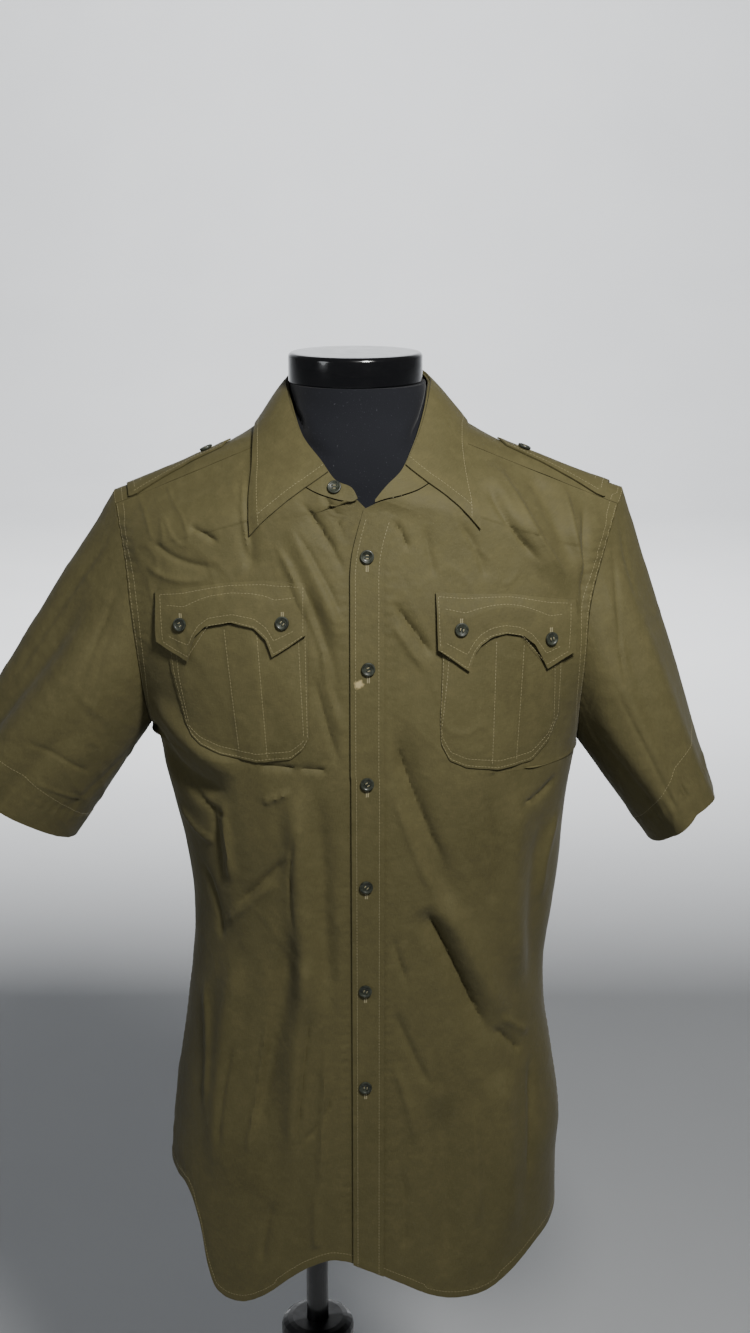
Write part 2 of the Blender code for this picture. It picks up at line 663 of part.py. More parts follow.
def clip_to_triangle(outline, tri):
    """The part of a flat outline inside one triangle."""
    area = (tri[1][0] - tri[0][0]) * (tri[2][1] - tri[0][1])
    area -= (tri[1][1] - tri[0][1]) * (tri[2][0] - tri[0][0])
    order = [0, 1, 2] if area > 0 else [0, 2, 1]
    pts = [tuple(p) for p in outline]
    for i in range(3):
        a, b = tri[order[i]], tri[order[(i + 1) % 3]]
        kept = []
        for j in range(len(pts)):
            p, q = pts[j], pts[(j + 1) % len(pts)]
            sp = (b[0] - a[0]) * (p[1] - a[1]) - (b[1] - a[1]) * (p[0] - a[0])
            sq = (b[0] - a[0]) * (q[1] - a[1]) - (b[1] - a[1]) * (q[0] - a[0])
            if sp >= 0:
                kept.append(p)
            if (sp >= 0) != (sq >= 0):
                f = sp / (sp - sq)
                kept.append((p[0] + f * (q[0] - p[0]), p[1] + f * (q[1] - p[1])))
        pts = kept
        if len(pts) < 3:
            return []
    return pts


def patch(name, grid, normals, outline, axes, low, thick, material):
    """A flat piece laid on a panel: its outline is cut into the panel's own
    triangles and moved out, so that it follows them and never crosses them."""
    rows, cols = grid.shape[:2]
    flat = grid[..., list(axes)]
    near, far = np.min(outline, axis=0), np.max(outline, axis=0)
    top, bottom, faces, index = [], [], [], {}
    corners = [Vector((x, y, 0.0)) for x, y in outline]
    parts = [[outline[i] for i in t] for t in tessellate_polygon([corners])]
    for r in range(rows - 1):
        for c in range(cols - 1):
            quad = [(r, c), (r, c + 1), (r + 1, c + 1), (r + 1, c)]
            for pick in ((0, 1, 2), (0, 2, 3)):
                keys = [quad[i] for i in pick]
                tri = np.array([flat[k] for k in keys])
                if (tri.max(axis=0) < near).any() or (tri.min(axis=0) > far).any():
                    continue
                p3 = np.array([grid[k] for k in keys])
                n3 = np.array([normals[k] for k in keys])
                m = np.array([tri[1] - tri[0], tri[2] - tri[0]]).T
                if abs(np.linalg.det(m)) < 1e-6:
                    continue
                for part in parts:
                    loop = []
                    for p in clip_to_triangle(part, tri):
                        key = (round(p[0], 4), round(p[1], 4))
                        if key not in index:
                            u, v = np.linalg.solve(m, np.array(p) - tri[0])
                            point = p3[0] + u * (p3[1] - p3[0]) + v * (p3[2] - p3[0])
                            normal = n3[0] + u * (n3[1] - n3[0]) + v * (n3[2] - n3[0])
                            normal = normal / np.linalg.norm(normal)
                            index[key] = len(top)
                            bottom.append(point + normal * low)
                            top.append(point + normal * (low + thick))
                        if index[key] not in loop:
                            loop.append(index[key])
                    for i in range(1, len(loop) - 1):
                        faces.append((loop[0], loop[i], loop[i + 1]))
    faces = [turned(f, top, axes) for f in faces]
    edges = {}
    for f in faces:
        for i in range(3):
            edges[(f[i], f[(i + 1) % 3])] = True
    count = len(top)
    shell = [tuple(f) for f in faces]
    shell += [(count + f[2], count + f[1], count + f[0]) for f in faces]
    for a, b in edges:
        if (b, a) not in edges:
            shell.append((b, a, count + a, count + b))
    return solid(name, np.array(top + bottom), shell, material)


def piece_at(points, i, axes):
    return points[i][axes[0]], points[i][axes[1]]


def turned(face, points, axes):
    """One winding for every triangle of a patch, as seen in its flat view."""
    a, b, c = [piece_at(points, i, axes) for i in face]
    area = (b[0] - a[0]) * (c[1] - a[1]) - (b[1] - a[1]) * (c[0] - a[0])
    return face if area > 0 else (face[0], face[2], face[1])


def surface_at(grid, normals, place, axes):
    """Point and normal of a panel under a place in its flat view."""
    rows, cols = grid.shape[:2]
    flat = grid[..., list(axes)]
    for r in range(rows - 1):
        for c in range(cols - 1):
            quad = [(r, c), (r, c + 1), (r + 1, c + 1), (r + 1, c)]
            for pick in ((0, 1, 2), (0, 2, 3)):
                keys = [quad[i] for i in pick]
                tri = np.array([flat[k] for k in keys])
                m = np.array([tri[1] - tri[0], tri[2] - tri[0]]).T
                if abs(np.linalg.det(m)) < 1e-6:
                    continue
                u, v = np.linalg.solve(m, np.array(place) - tri[0])
                if u >= -1e-9 and v >= -1e-9 and u + v <= 1 + 1e-9:
                    p3 = np.array([grid[k] for k in keys])
                    n3 = np.array([normals[k] for k in keys])
                    point = p3[0] + u * (p3[1] - p3[0]) + v * (p3[2] - p3[0])
                    normal = n3[0] + u * (n3[1] - n3[0]) + v * (n3[2] - n3[0])
                    return point, normal / np.linalg.norm(normal)
    raise ValueError("no panel under this place")


def tree_of(item):
    item.data.calc_loop_triangles()
    verts = [v.co.copy() for v in item.data.vertices]
    tris = [tuple(t.vertices) for t in item.data.loop_triangles]
    return BVHTree.FromPolygons(verts, tris)


def button(name, point, normal, carrier, material):
    """A button with a raised rim, set GAP above the highest point under it."""
    n = Vector(normal).normalized()
    side = Vector((0, 0, 1)) if abs(n.z) < 0.9 else Vector((0, 1, 0))
    u = n.cross(side).normalized()
    w = n.cross(u).normalized()
    centre = Vector(point)
    highest = -1e9
    for radius in (0, 0.5, 1.0):
        for k in range(12):
            a = 2 * math.pi * k / 12
            spot = centre + (u * math.cos(a) + w * math.sin(a)) * radius * BUTTON_D / 2
            start = Vector(((spot.x + MIDDLE) * MM, spot.y * MM, spot.z * MM)) + n * 0.02
            hit = carrier.ray_cast(start, -n)
            if hit[0] is not None:
                highest = max(highest, 20.0 - hit[3] / MM)
    base = centre + n * (highest + GAP)
    r = BUTTON_D / 2
    profile = [(r - 0.4, 0.0), (r, 0.6), (r, BUTTON_H - 0.5), (r - 0.7, BUTTON_H),
               (r - 2.0, BUTTON_H - 0.8)]
    around = 14
    verts, faces = [], []
    for radius, height in profile:
        for k in range(around):
            a = 2 * math.pi * k / around
            verts.append(base + (u * math.cos(a) + w * math.sin(a)) * radius + n * height)
    for i in range(len(profile) - 1):
        for k in range(around):
            a, b = i * around + k, i * around + (k + 1) % around
            faces.append((a, b, b + around, a + around))
    faces.append(tuple(range(around))[::-1])
    faces.append(tuple(range((len(profile) - 1) * around, len(profile) * around)))
    return solid(name, np.array([tuple(v) for v in verts]), faces, material)


def turned_piece(name, profile, x, y, around, material):
    """A piece turned round an upright axis; its profile closes on the axis or,
    where it doesn't reach it, on itself."""
    verts, faces, rows = [], [], []
    for radius, z in profile:
        if radius < 1e-6:
            rows.append([len(verts)])
            verts.append((x, y, z))
            continue
        rows.append(list(range(len(verts), len(verts) + around)))
        for k in range(around):
            a = 2 * math.pi * k / around
            verts.append((x + radius * math.cos(a), y + radius * math.sin(a), z))
    closed = len(rows[0]) > 1 and len(rows[-1]) > 1
    pairs = list(zip(rows[:-1], rows[1:]))
    if closed:
        pairs.append((rows[-1], rows[0]))
    for low, high in pairs:
        for k in range(around):
            a, b = low[k % len(low)], low[(k + 1) % len(low)]
            d, e = high[k % len(high)], high[(k + 1) % len(high)]
            loop = []
            for i in (a, b, e, d):
                if i not in loop:
                    loop.append(i)
            if len(loop) >= 3:
                faces.append(tuple(loop))
    return solid(name, np.array(verts), faces, material)


def cloth_tree(grid, normals):
    """A panel's middle layer as triangles that all face outwards."""
    rows, cols = grid.shape[:2]
    verts = [Vector(p) for p in grid.reshape(-1, 3)]
    out = normals.reshape(-1, 3)
    tris = []
    for r in range(rows - 1):
        for c in range(cols - 1):
            a, b = r * cols + c, r * cols + c + 1
            d, e = a + cols, b + cols
            for t in ((a, b, e), (a, e, d)):
                p, q, s = verts[t[0]], verts[t[1]], verts[t[2]]
                face = (q - p).cross(s - p)
                mean = Vector(out[t[0]] + out[t[1]] + out[t[2]])
                tris.append(t if face.dot(mean) > 0 else (t[0], t[2], t[1]))
    return BVHTree.FromPolygons(verts, tris)


def form_body(cloth_grids, material):
    """The dress form: level rings that stay clear of the cloth's inside."""
    trees = [cloth_tree(grid, normals) for grid, normals in cloth_grids]
    around = 48
    table = np.array(FORM_ROWS, float)
    verts, faces = [], []
    for z, wide, front, back, middle, close in table:
        reach = np.empty(around)
        for k in range(around):
            a = 2 * math.pi * k / around
            c, s = math.cos(a), math.sin(a)
            deep = back if s > 0 else front
            reach[k] = (abs(c / wide) ** 2.3 + abs(s / deep) ** 2.3) ** (-1 / 2.3)
            way = Vector((c, s, 0.0))
            for tree in trees:
                for lift in (-6, -3, 0, 3, 6):
                    hit, normal, index, distance = tree.ray_cast(Vector((middle, 0.0, z + lift)), way)
                    if hit is None:
                        continue
                    space = (close + CLOTH / 2) / max(abs(normal.dot(way)), 0.3)
                    reach[k] = min(reach[k], distance - space)
        reach = np.minimum(reach, (np.roll(reach, 1) + np.roll(reach, -1)) / 2 + 1.5)
        for k in range(around):
            a = 2 * math.pi * k / around
            verts.append((middle + reach[k] * math.cos(a), reach[k] * math.sin(a), z))
    rows = len(table)
    for r in range(rows - 1):
        for k in range(around):
            a, b = r * around + k, r * around + (k + 1) % around
            faces.append((a, b, b + around, a + around))
    faces.append(tuple(range(around))[::-1])
    faces.append(tuple(range((rows - 1) * around, rows * around)))
    return solid("form_body", np.array(verts), faces, material)


def make_material(name):
    colour, rough = COLOURS[name]
    material = bpy.data.materials.new(name)
    material.use_nodes = True
    shader = material.node_tree.nodes["Principled BSDF"]
    shader.inputs["Base Color"].default_value = colour
    shader.inputs["Roughness"].default_value = rough
    return material


def build():
    clear_scene()
    material = {name: make_material(name) for name in COLOURS}

    def own(kind, name):
        copy = material[kind].copy()
        copy.name = name
        return copy

    right, right_n = front_panel("right")
    left, left_n = front_panel("left")
    back, back_n = back_panel()
    yoke, yoke_n = yoke_panel(left, right, back)
    for grid in (right, left):
        grid[:, -1] = step_in(grid[:, -1], grid[:, -2], SEAM / 2)
        grid[-1] = step_in(grid[-1], grid[-2], SEAM / 2)
    for column, beside in ((0, 1), (-1, -2)):
        back[:, column] = step_in(back[:, column], back[:, beside], SEAM / 2)

    cloth = own("cloth", "cloth_front_right")
    fronts = {
        "right": wall("front_right", right, right_n, cloth),
        "left": wall("front_left", left, left_n, own("cloth", "cloth_front_left")),
    }
    wall("back", back, back_n, own("cloth", "cloth_back"))
    yoke_item = wall("yoke", yoke, yoke_n, own("cloth", "cloth_yoke"))
    layer = CLOTH + GAP
    placket = wall("placket", left[:NECK_ROW - 1, :4], left_n[:NECK_ROW - 1, :4],
                   own("cloth", "cloth_placket"), shift=layer)
    for side in ("right", "left"):
        grid, normals = sleeve_panel(side)
        wall("sleeve_" + side, grid, normals, own("cloth", "cloth_sleeve_" + side), ring=True)

    t = np.linspace(0, 20, 61)
    seam, fold = collar_lines(t)
    up = (fold - seam) / np.linalg.norm(fold - seam, axis=1, keepdims=True)
    seam = seam + up * 1.2
    stand = np.array([seam * (1 - v) + fold * v for v in (0, 0.5, 1)])
    stand_n = grid_normals(stand, lambda g: g - np.array([-6.0, 0.0, 1400.0]))
    stand_item = wall("collar_stand", stand, stand_n, own("cloth", "cloth_collar_stand"), thick=1.6)

    table = np.array(FALL_EDGE, float)
    t = np.linspace(table[0, 0], table[-1, 0], 49)
    seam, fold = collar_lines(t)
    edge = along(table[:, 0], table[:, 1:], t)
    away = fold - np.array([-6.0, 0.0, 1400.0])
    away[:, 2] = 0
    away /= np.linalg.norm(away, axis=1, keepdims=True)
    start = fold + away * 2.2 + np.array([0, 0, 0.6])
    rows = []
    for v in np.linspace(0, 1, 6):
        rows.append(start * (1 - v) + edge * v + away * 2.5 * math.sin(math.pi * v) * (1 - v))
    fall = np.array(rows)
    trees = [tree_of(i) for i in (fronts["right"], fronts["left"], yoke_item, stand_item)]
    for _ in range(3):
        fall_n = grid_normals(fall, lambda g: g - np.array([-6.0, 0.0, 1380.0]))
        fall = cleared(fall, fall_n, trees, 2.4)
    fall_n = grid_normals(fall, lambda g: g - np.array([-6.0, 0.0, 1380.0]))
    wall("collar_fall", fall, fall_n, own("cloth", "cloth_collar_fall"), thick=1.4)

    panels = {"right": (right, right_n), "left": (left, left_n)}
    flap_items = {}
    for side in ("right", "left"):
        grid, normals = panels[side]
        patch("pocket_" + side, grid, normals, POCKETS[side], (0, 2), CLOTH / 2 + GAP, 1.0,
              own("cloth", "cloth_pocket_" + side))
        flap_items[side] = patch("pocket_flap_" + side, grid, normals, FLAPS[side], (0, 2),
                                 CLOTH / 2 + GAP + 1.0 + GAP, 1.2,
                                 own("cloth", "cloth_flap_" + side))
    strap_items = {}
    for side in ("right", "left"):
        strap_items[side] = patch("strap_" + side, yoke, yoke_n, STRAPS[side], (0, 1),
                                  CLOTH / 2 + GAP, 1.4, own("cloth", "cloth_strap_" + side))

    tree = tree_of(placket)
    for i, place in enumerate(FRONT_BUTTONS):
        point, normal = surface_at(left, left_n, place, (0, 2))
        button(f"button_front_{i + 1}", point, normal, tree, own("button", f"button_front_{i + 1}"))
    for i, (side, x, z) in enumerate(FLAP_BUTTONS):
        grid, normals = panels[side]
        point, normal = surface_at(grid, normals, (x, z), (0, 2))
        button(f"button_flap_{i + 1}", point, normal, tree_of(flap_items[side]),
               own("button", f"button_flap_{i + 1}"))
    for side, x, y in STRAP_BUTTONS:
        point, normal = surface_at(yoke, yoke_n, (x, y), (0, 1))
        button("button_strap_" + side, point, normal, tree_of(strap_items[side]),
               own("button", "button_strap_" + side))
    middle = stand[1, 6] * 0.5 + stand[0, 6] * 0.2 + stand[2, 6] * 0.3
    button("button_stand", middle, stand_n[1, 6], tree_of(stand_item),
           own("button", "button_stand"))

    form_body([(right, right_n), (left, left_n), (back, back_n), (yoke, yoke_n),
               (stand, stand_n)], own("form", "form_cloth"))
    cap_profile = [(0, CAP_TOP - CAP_H), (CAP_R - 3.5, CAP_TOP - CAP_H), (CAP_R - 1.2, CAP_TOP - CAP_H + 0.6),
                   (CAP_R, CAP_TOP - CAP_H + 2.4), (CAP_R, CAP_TOP - 5.0),
                   (CAP_R - 1.0, CAP_TOP - 2.4), (CAP_R - 3.2, CAP_TOP - 0.7),
                   (CAP_R - 7.0, CAP_TOP), (0, CAP_TOP)]
    turned_piece("neck_cap", cap_profile, NECK_X, 0, 48, own("cap", "cap_gloss"))
    r = POLE_D / 2
    socket = BASE_H + 1.0
    turned_piece("pole", [(0, socket), (r, socket), (r, FORM_BOTTOM - GAP), (0, FORM_BOTTOM - GAP)],
                 -MIDDLE, 0, 28, own("metal", "metal_pole"))
    k = KNOB_D / 2
    bore = r + GAP
    low = KNOB_TOP - KNOB_H
    turned_piece("pole_collar", [(bore, low), (k - 4, low), (k - 1, low + 1.2), (k, low + 4),
                                 (k, KNOB_TOP - 9), (k - 1.6, KNOB_TOP - 4.5), (k - 6, KNOB_TOP - 1.0),
                                 (k - 11, KNOB_TOP), (bore, KNOB_TOP)],
                 -MIDDLE, 0, 32, own("metal", "metal_collar"))
    b = BASE_D / 2
    h = HUB_D / 2
    turned_piece("base", [(0, 0), (b - 1, 0), (b, 1), (b, BASE_H - 4), (b - 1.2, BASE_H - 1.2),
                          (b - 4, BASE_H), (h + 3, BASE_H), (h, BASE_H + 3), (h, BASE_H + HUB_H - 3),
                          (h - 3, BASE_H + HUB_H), (bore, BASE_H + HUB_H), (bore, socket - GAP),
                          (0, socket - GAP)],
                 -MIDDLE, 0, 44, own("metal", "metal_base"))


def cleared(grid, normals, trees, space):
    """Moves a layer out, softly, where it would touch what lies under it."""
    need = np.zeros(grid.shape[:2])
    for r in range(grid.shape[0]):
        for c in range(grid.shape[1]):
            p = Vector(((grid[r, c, 0] + MIDDLE) * MM, grid[r, c, 1] * MM, grid[r, c, 2] * MM))
            n = Vector(normals[r, c])
            for tree in trees:
                hit = tree.ray_cast(p + n * 15 * MM, -n, 22 * MM)
                if hit[0] is not None:
                    need[r, c] = max(need[r, c], 15 - hit[3] / MM + space)
    soft = need
    for _ in range(6):
        wide = np.pad(soft, 1, mode="edge")
        mean = wide[:-2, 1:-1] + wide[2:, 1:-1] + wide[1:-1, :-2] + wide[1:-1, 2:] + 4 * soft
        soft = np.maximum(need, mean / 8)
    return grid + normals * soft[..., None]


build()
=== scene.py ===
# The looks of a worn short-sleeved shirt on its dress form: fine cloth, seams,
# stitches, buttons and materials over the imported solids, with light and camera.
# The tables are in millimetres, with x counted from the shirt's middle line.

import math

import bpy
import bmesh
import numpy as np
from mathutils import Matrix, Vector
from mathutils.bvhtree import BVHTree
from mathutils.geometry import tessellate_polygon


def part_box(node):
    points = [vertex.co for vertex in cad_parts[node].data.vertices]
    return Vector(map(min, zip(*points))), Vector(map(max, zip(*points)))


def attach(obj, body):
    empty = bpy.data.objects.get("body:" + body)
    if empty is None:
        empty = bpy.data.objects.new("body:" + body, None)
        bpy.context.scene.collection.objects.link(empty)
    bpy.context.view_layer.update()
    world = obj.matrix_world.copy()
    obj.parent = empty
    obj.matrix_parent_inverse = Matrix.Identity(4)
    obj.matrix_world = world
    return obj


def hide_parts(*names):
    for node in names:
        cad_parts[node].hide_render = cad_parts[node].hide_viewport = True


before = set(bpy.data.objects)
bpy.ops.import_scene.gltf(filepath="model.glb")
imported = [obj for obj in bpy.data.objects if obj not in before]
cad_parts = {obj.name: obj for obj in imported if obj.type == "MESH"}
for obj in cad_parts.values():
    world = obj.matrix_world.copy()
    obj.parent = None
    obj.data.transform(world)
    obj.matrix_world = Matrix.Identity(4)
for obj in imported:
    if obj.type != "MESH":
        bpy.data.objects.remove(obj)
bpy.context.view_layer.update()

MM = 0.001
MIDDLE = 51.0        # the shirt's middle line, to the side of the pole
CLOTH = 1.0          # wall of a single cloth panel
GAP = 0.3            # space between two layers
SEAM = 0.5           # space left where two walls meet at an angle
ARM_SEAM = 0.9
PIT_SEAM = 1.4
ROUND = 2.4          # how square a level section of the body is
WAIST_Z = 930.0
PIT_Z = 1158.0
UNDERLAP = 1.5       # how far the covered front lies under the placket
YOKE_FRONT_SHARE = 0.455
YOKE_BACK_SHARE = 0.66
BUTTON_D = 11.6
BUTTON_H = 2.4
STITCH = 3.0         # pitch of the sewing
THREAD = 0.42        # thickness of the thread
SOFT_GAIN = 1.5     # the folds stand this much prouder than in the tables
SHARP_GAIN = 1.7

# Level sections of the body: half width to each side, depth in front and behind.
SECTIONS = [
    # z, right side, left side, front depth, back depth
    (600, 197, 184, 119, 112), (680, 194, 183, 119, 111), (734, 190, 182, 118, 109),
    (780, 185, 184, 117, 106), (842, 177, 175, 116, 101), (894, 170, 167, 116, 97),
    (940, 164, 166, 117, 95), (997, 161, 172, 120, 97), (1047, 166, 177, 124, 100),
    (1096, 175, 181, 128, 104), (1140, 186, 187, 130, 107), (1158, 192, 190, 130, 108),
]
HEM = [
    # x, z
    (-200, 731), (-180, 728), (-169, 722), (-158, 692), (-152, 655), (-144, 630),
    (-121, 623), (-97, 635), (-72, 657), (-54, 670), (-30, 679), (-2, 670),
    (30, 655), (59, 640), (82, 634), (111, 636), (135, 649), (159, 668),
    (174, 675), (200, 693),
]
BACK_HEM = [
    # x, z
    (-205, 727), (-184, 721), (-164, 688), (-130, 640), (-80, 618), (0, 612),
    (80, 618), (130, 632), (160, 656), (180, 678), (205, 690),
]
ARMHOLE = [
    # x right, z right, x left, z left, y
    (195, 1168, 190, 1152, 0), (194, 1178, 188, 1164, -32),
    (196, 1210, 187, 1198, -57), (199, 1256, 189, 1245, -74),
    (203, 1292, 192, 1294, -71), (209, 1331, 205, 1338, -51),
    (217, 1362, 216, 1364, -27), (223, 1379, 225, 1381, 0),
    (219, 1368, 220, 1370, 27), (210, 1342, 208, 1345, 54),
    (202, 1308, 197, 1308, 76), (198, 1267, 191, 1264, 79),
    (195, 1222, 188, 1212, 67), (195, 1184, 188, 1172, 38),
]
FRONT_ROWS = [
    # start x, start y, start z, share of the armhole
    (13.5, -130, 1158, 0.00), (13.5, -129, 1208, 0.17), (13.5, -126, 1254, 0.34),
    (13.5, -119.5, 1300, 0.50), (12.5, -111, 1341, 0.63), (2.6, -102.5, 1381, 0.73),
]
NECK_ROWS = [
    # place along the collar from its end, share of the armhole
    (0.0, 0.73), (1.0, 0.765), (2.0, 0.80), (3.0, 0.85), (4.0, 0.90), (4.9, 0.95),
    (5.5, 1.00),
]
BACK_ROWS = [
    # middle y, middle z, share of the armhole from the underarm up the back
    (108, 1158, 0.00), (110, 1205, 0.30), (111, 1248, 0.55),
    (110, 1290, 0.80), (106, 1328, 1.00),
]
COLLAR = [
    # seam x, y, z, fold x, y, z
    (-7, -102, 1389, -8, -101, 1392), (-14, -103, 1387, -13, -98, 1399),
    (-27, -102, 1389, -26, -92, 1404), (-46, -96, 1395, -38, -78, 1418),
    (-65, -80, 1406, -53, -57, 1434), (-78, -52, 1421, -62, -34, 1453),
    (-85, -22, 1436, -67, -10, 1468), (-84, 10, 1444, -68, 15, 1475),
    (-70, 42, 1451, -59, 40, 1481), (-40, 62, 1457, -35, 57, 1486),
    (-6, 69, 1459, -8, 62, 1487), (28, 62, 1457, 20, 57, 1486),
    (60, 42, 1451, 43, 41, 1481), (76, 12, 1444, 53, 17, 1475),
    (79, -20, 1436, 52, -8, 1468), (73, -50, 1421, 49, -27, 1455),
    (61, -77, 1406, 44, -46, 1440), (46, -94, 1397, 38, -66, 1427),
    (30, -101, 1392, 29, -86, 1411), (16, -103, 1389, 17, -96, 1400),
    (7, -103, 1386, 7, -102, 1389),
]
FALL_EDGE = [
    # place along the collar, x, y, z
    (2.45, -97, -96, 1357), (3.3, -97, -84, 1380), (4.5, -97, -58, 1410),
    (6.0, -97, -27, 1433), (7.2, -95, 8, 1441), (8.4, -77, 50, 1446),
    (9.3, -46, 74, 1447), (10.0, -6, 81, 1448), (10.9, 38, 74, 1447),
    (11.9, 70, 50, 1446), (13.0, 87, 8, 1441), (14.2, 86, -20, 1435),
    (15.5, 86, -48, 1417), (16.8, 89, -76, 1390), (17.75, 94, -98, 1362),
]
SLEEVE_HEM = {
    # middle, reach to the outer corner, half depth, rise of the front edge
    "right": ((-331, 2, 1086), (-60, 29), 66, 14),
    "left": ((288, 0, 1084), (28, 27), 80, 13),
}

# Folds as three points in the front view, their width and height, minus for a
# trough, and how sharp they are: 0 a soft swell, 1 a crease.
FRONT_FOLDS = [
    # x, z, x, z, x, z, width, height, sharp
    (-102, 1432, -100, 1359, -93, 1329, 7, -2.0, 0),
    (-67, 1373, -40, 1320, -16, 1265, 8, 2.5, 0),
    (-51, 1320, -34, 1260, -18, 1199, 7, -2.5, 0),
    (-192, 1187, -169, 1146, -109, 1133, 10, -5.0, 0),
    (-185, 1215, -151, 1175, -100, 1157, 10, 4.0, 0),
    (-59, 1155, -58, 1039, -49, 902, 10, 5.0, 0),
    (-40, 1141, -38, 1039, -33, 922, 8, -3.0, 0),
    (-66, 1009, -82, 911, -106, 785, 11, -5.0, 0),
    (-55, 990, -62, 891, -72, 748, 9, 3.5, 0),
    (-114, 978, -130, 879, -142, 735, 11, 4.0, 0),
    (95, 1415, 128, 1370, 175, 1300, 9, 4.0, 0),
    (136, 1408, 157, 1372, 179, 1325, 8, -3.0, 0),
    (18, 1223, 50, 1105, 81, 1033, 10, -3.5, 0),
    (46, 1033, 73, 979, 113, 879, 9, -5.0, 0),
    (62, 1038, 92, 984, 130, 889, 10, 4.0, 0),
    (138, 1147, 126, 1048, 143, 929, 12, 4.0, 0),
    (160, 1120, 150, 1014, 158, 904, 9, -3.0, 0),
    (121, 864, 127, 784, 133, 657, 12, 4.0, 0),
    (66, 850, 71, 757, 77, 652, 12, -4.0, 0),
    # drag lines from the open neck down to the placket
    (-55, 1389, -33, 1357, -16, 1325, 4, -2.2, 1),
    (-38, 1397, -26, 1376, -17, 1349, 3, -1.6, 1),
    (-62, 1368, -36, 1325, -17, 1285, 4, -1.8, 1),
    (-78, 1356, -50, 1300, -20, 1215, 4, 1.8, 1),
    (-39, 1274, -31, 1231, -18, 1188, 4, 1.8, 1),
    (-45, 1250, -33, 1200, -20, 1160, 4, -1.6, 1),
    (-104, 1410, -103, 1370, -97, 1340, 3, 1.5, 1),
    (-150, 1362, -138, 1358, -122, 1349, 4, -1.8, 1),
    (-185, 1352, -160, 1335, -120, 1330, 5, -1.4, 1),
    (-190, 1330, -165, 1318, -130, 1322, 4, 1.2, 1),
    # under the right pocket and the underarm
    (-125, 1127, -121, 1085, -119, 1043, 5, 2.6, 1),
    (-136, 1120, -131, 1085, -130, 1040, 5, -2.2, 1),
    (-93, 1163, -74, 1164, -55, 1160, 3, -1.8, 1),
    (-59, 1162, -45, 1163, -32, 1160, 3, -1.8, 1),
    (-92, 1130, -76, 1136, -64, 1143, 4, 2.0, 1),
    (-165, 1140, -140, 1118, -118, 1112, 4, -2.2, 1),
    (-172, 1112, -150, 1090, -130, 1084, 5, 1.8, 1),
    (-117, 1022, -92, 1052, -67, 1080, 5, -2.4, 1),
    (-128, 1000, -104, 1030, -78, 1056, 5, 1.8, 1),
    (-150, 1060, -135, 1020, -132, 980, 5, -2.0, 1),
    (-60, 1110, -66, 1060, -64, 1010, 3, -1.6, 1),
    (-50, 940, -58, 860, -66, 780, 4, -2.0, 1),
    (-88, 930, -100, 850, -112, 770, 4, 2.0, 1),
    (-36, 900, -40, 830, -44, 740, 5, 1.8, 1),
    (-120, 900, -132, 830, -138, 770, 5, -2.2, 1),
    (-30, 860, -42, 820, -60, 800, 3, -1.3, 1),
    (-150, 940, -146, 880, -152, 800, 5, 2.0, 1),
    (-85, 740, -95, 700, -100, 660, 6, -1.8, 1),
    (-45, 760, -48, 710, -46, 690, 5, 1.6, 1),
    # the left front
    (100, 1398, 118, 1368, 148, 1330, 4, -2.2, 1),
    (110, 1408, 140, 1360, 172, 1312, 3, 1.6, 1),
    (166, 1395, 177, 1353, 188, 1307, 5, 2.2, 1),
    (186, 1377, 186, 1324, 185, 1262, 5, -2.6, 1),
    (76, 1372, 92, 1345, 100, 1320, 5, -1.4, 1),
    (48, 1370, 52, 1345, 58, 1322, 5, -1.2, 1),
    (22, 1372, 30, 1360, 35, 1346, 3, -1.8, 1),
    (20, 1308, 39, 1283, 58, 1257, 4, -2.4, 1),
    (20, 1290, 34, 1270, 52, 1245, 4, 1.6, 1),
    (20, 1200, 44, 1130, 74, 1060, 4, -1.8, 1),
    (20, 1150, 40, 1090, 60, 1040, 4, 1.6, 1),
    (52, 1028, 78, 974, 117, 885, 3, -2.6, 1),
    (112, 905, 128, 888, 142, 868, 4, -2.4, 1),
    (118, 915, 134, 900, 148, 884, 4, 1.8, 1),
    (20, 1010, 27, 985, 38, 950, 4, -1.6, 1),
    (22, 940, 40, 890, 60, 850, 5, -1.6, 1),
    (22, 880, 36, 840, 46, 790, 5, 1.5, 1),
    (100, 1140, 110, 1080, 108, 1020, 5, -1.6, 1),
    (168, 1140, 150, 1125, 130, 1122, 4, -1.8, 1),
    (172, 1100, 160, 1060, 158, 1010, 5, 2.0, 1),
    (150, 870, 152, 800, 150, 730, 6, -2.2, 1),
    (95, 840, 100, 770, 103, 700, 6, 1.8, 1),
    (30, 780, 34, 730, 32, 680, 6, -1.5, 1),
]
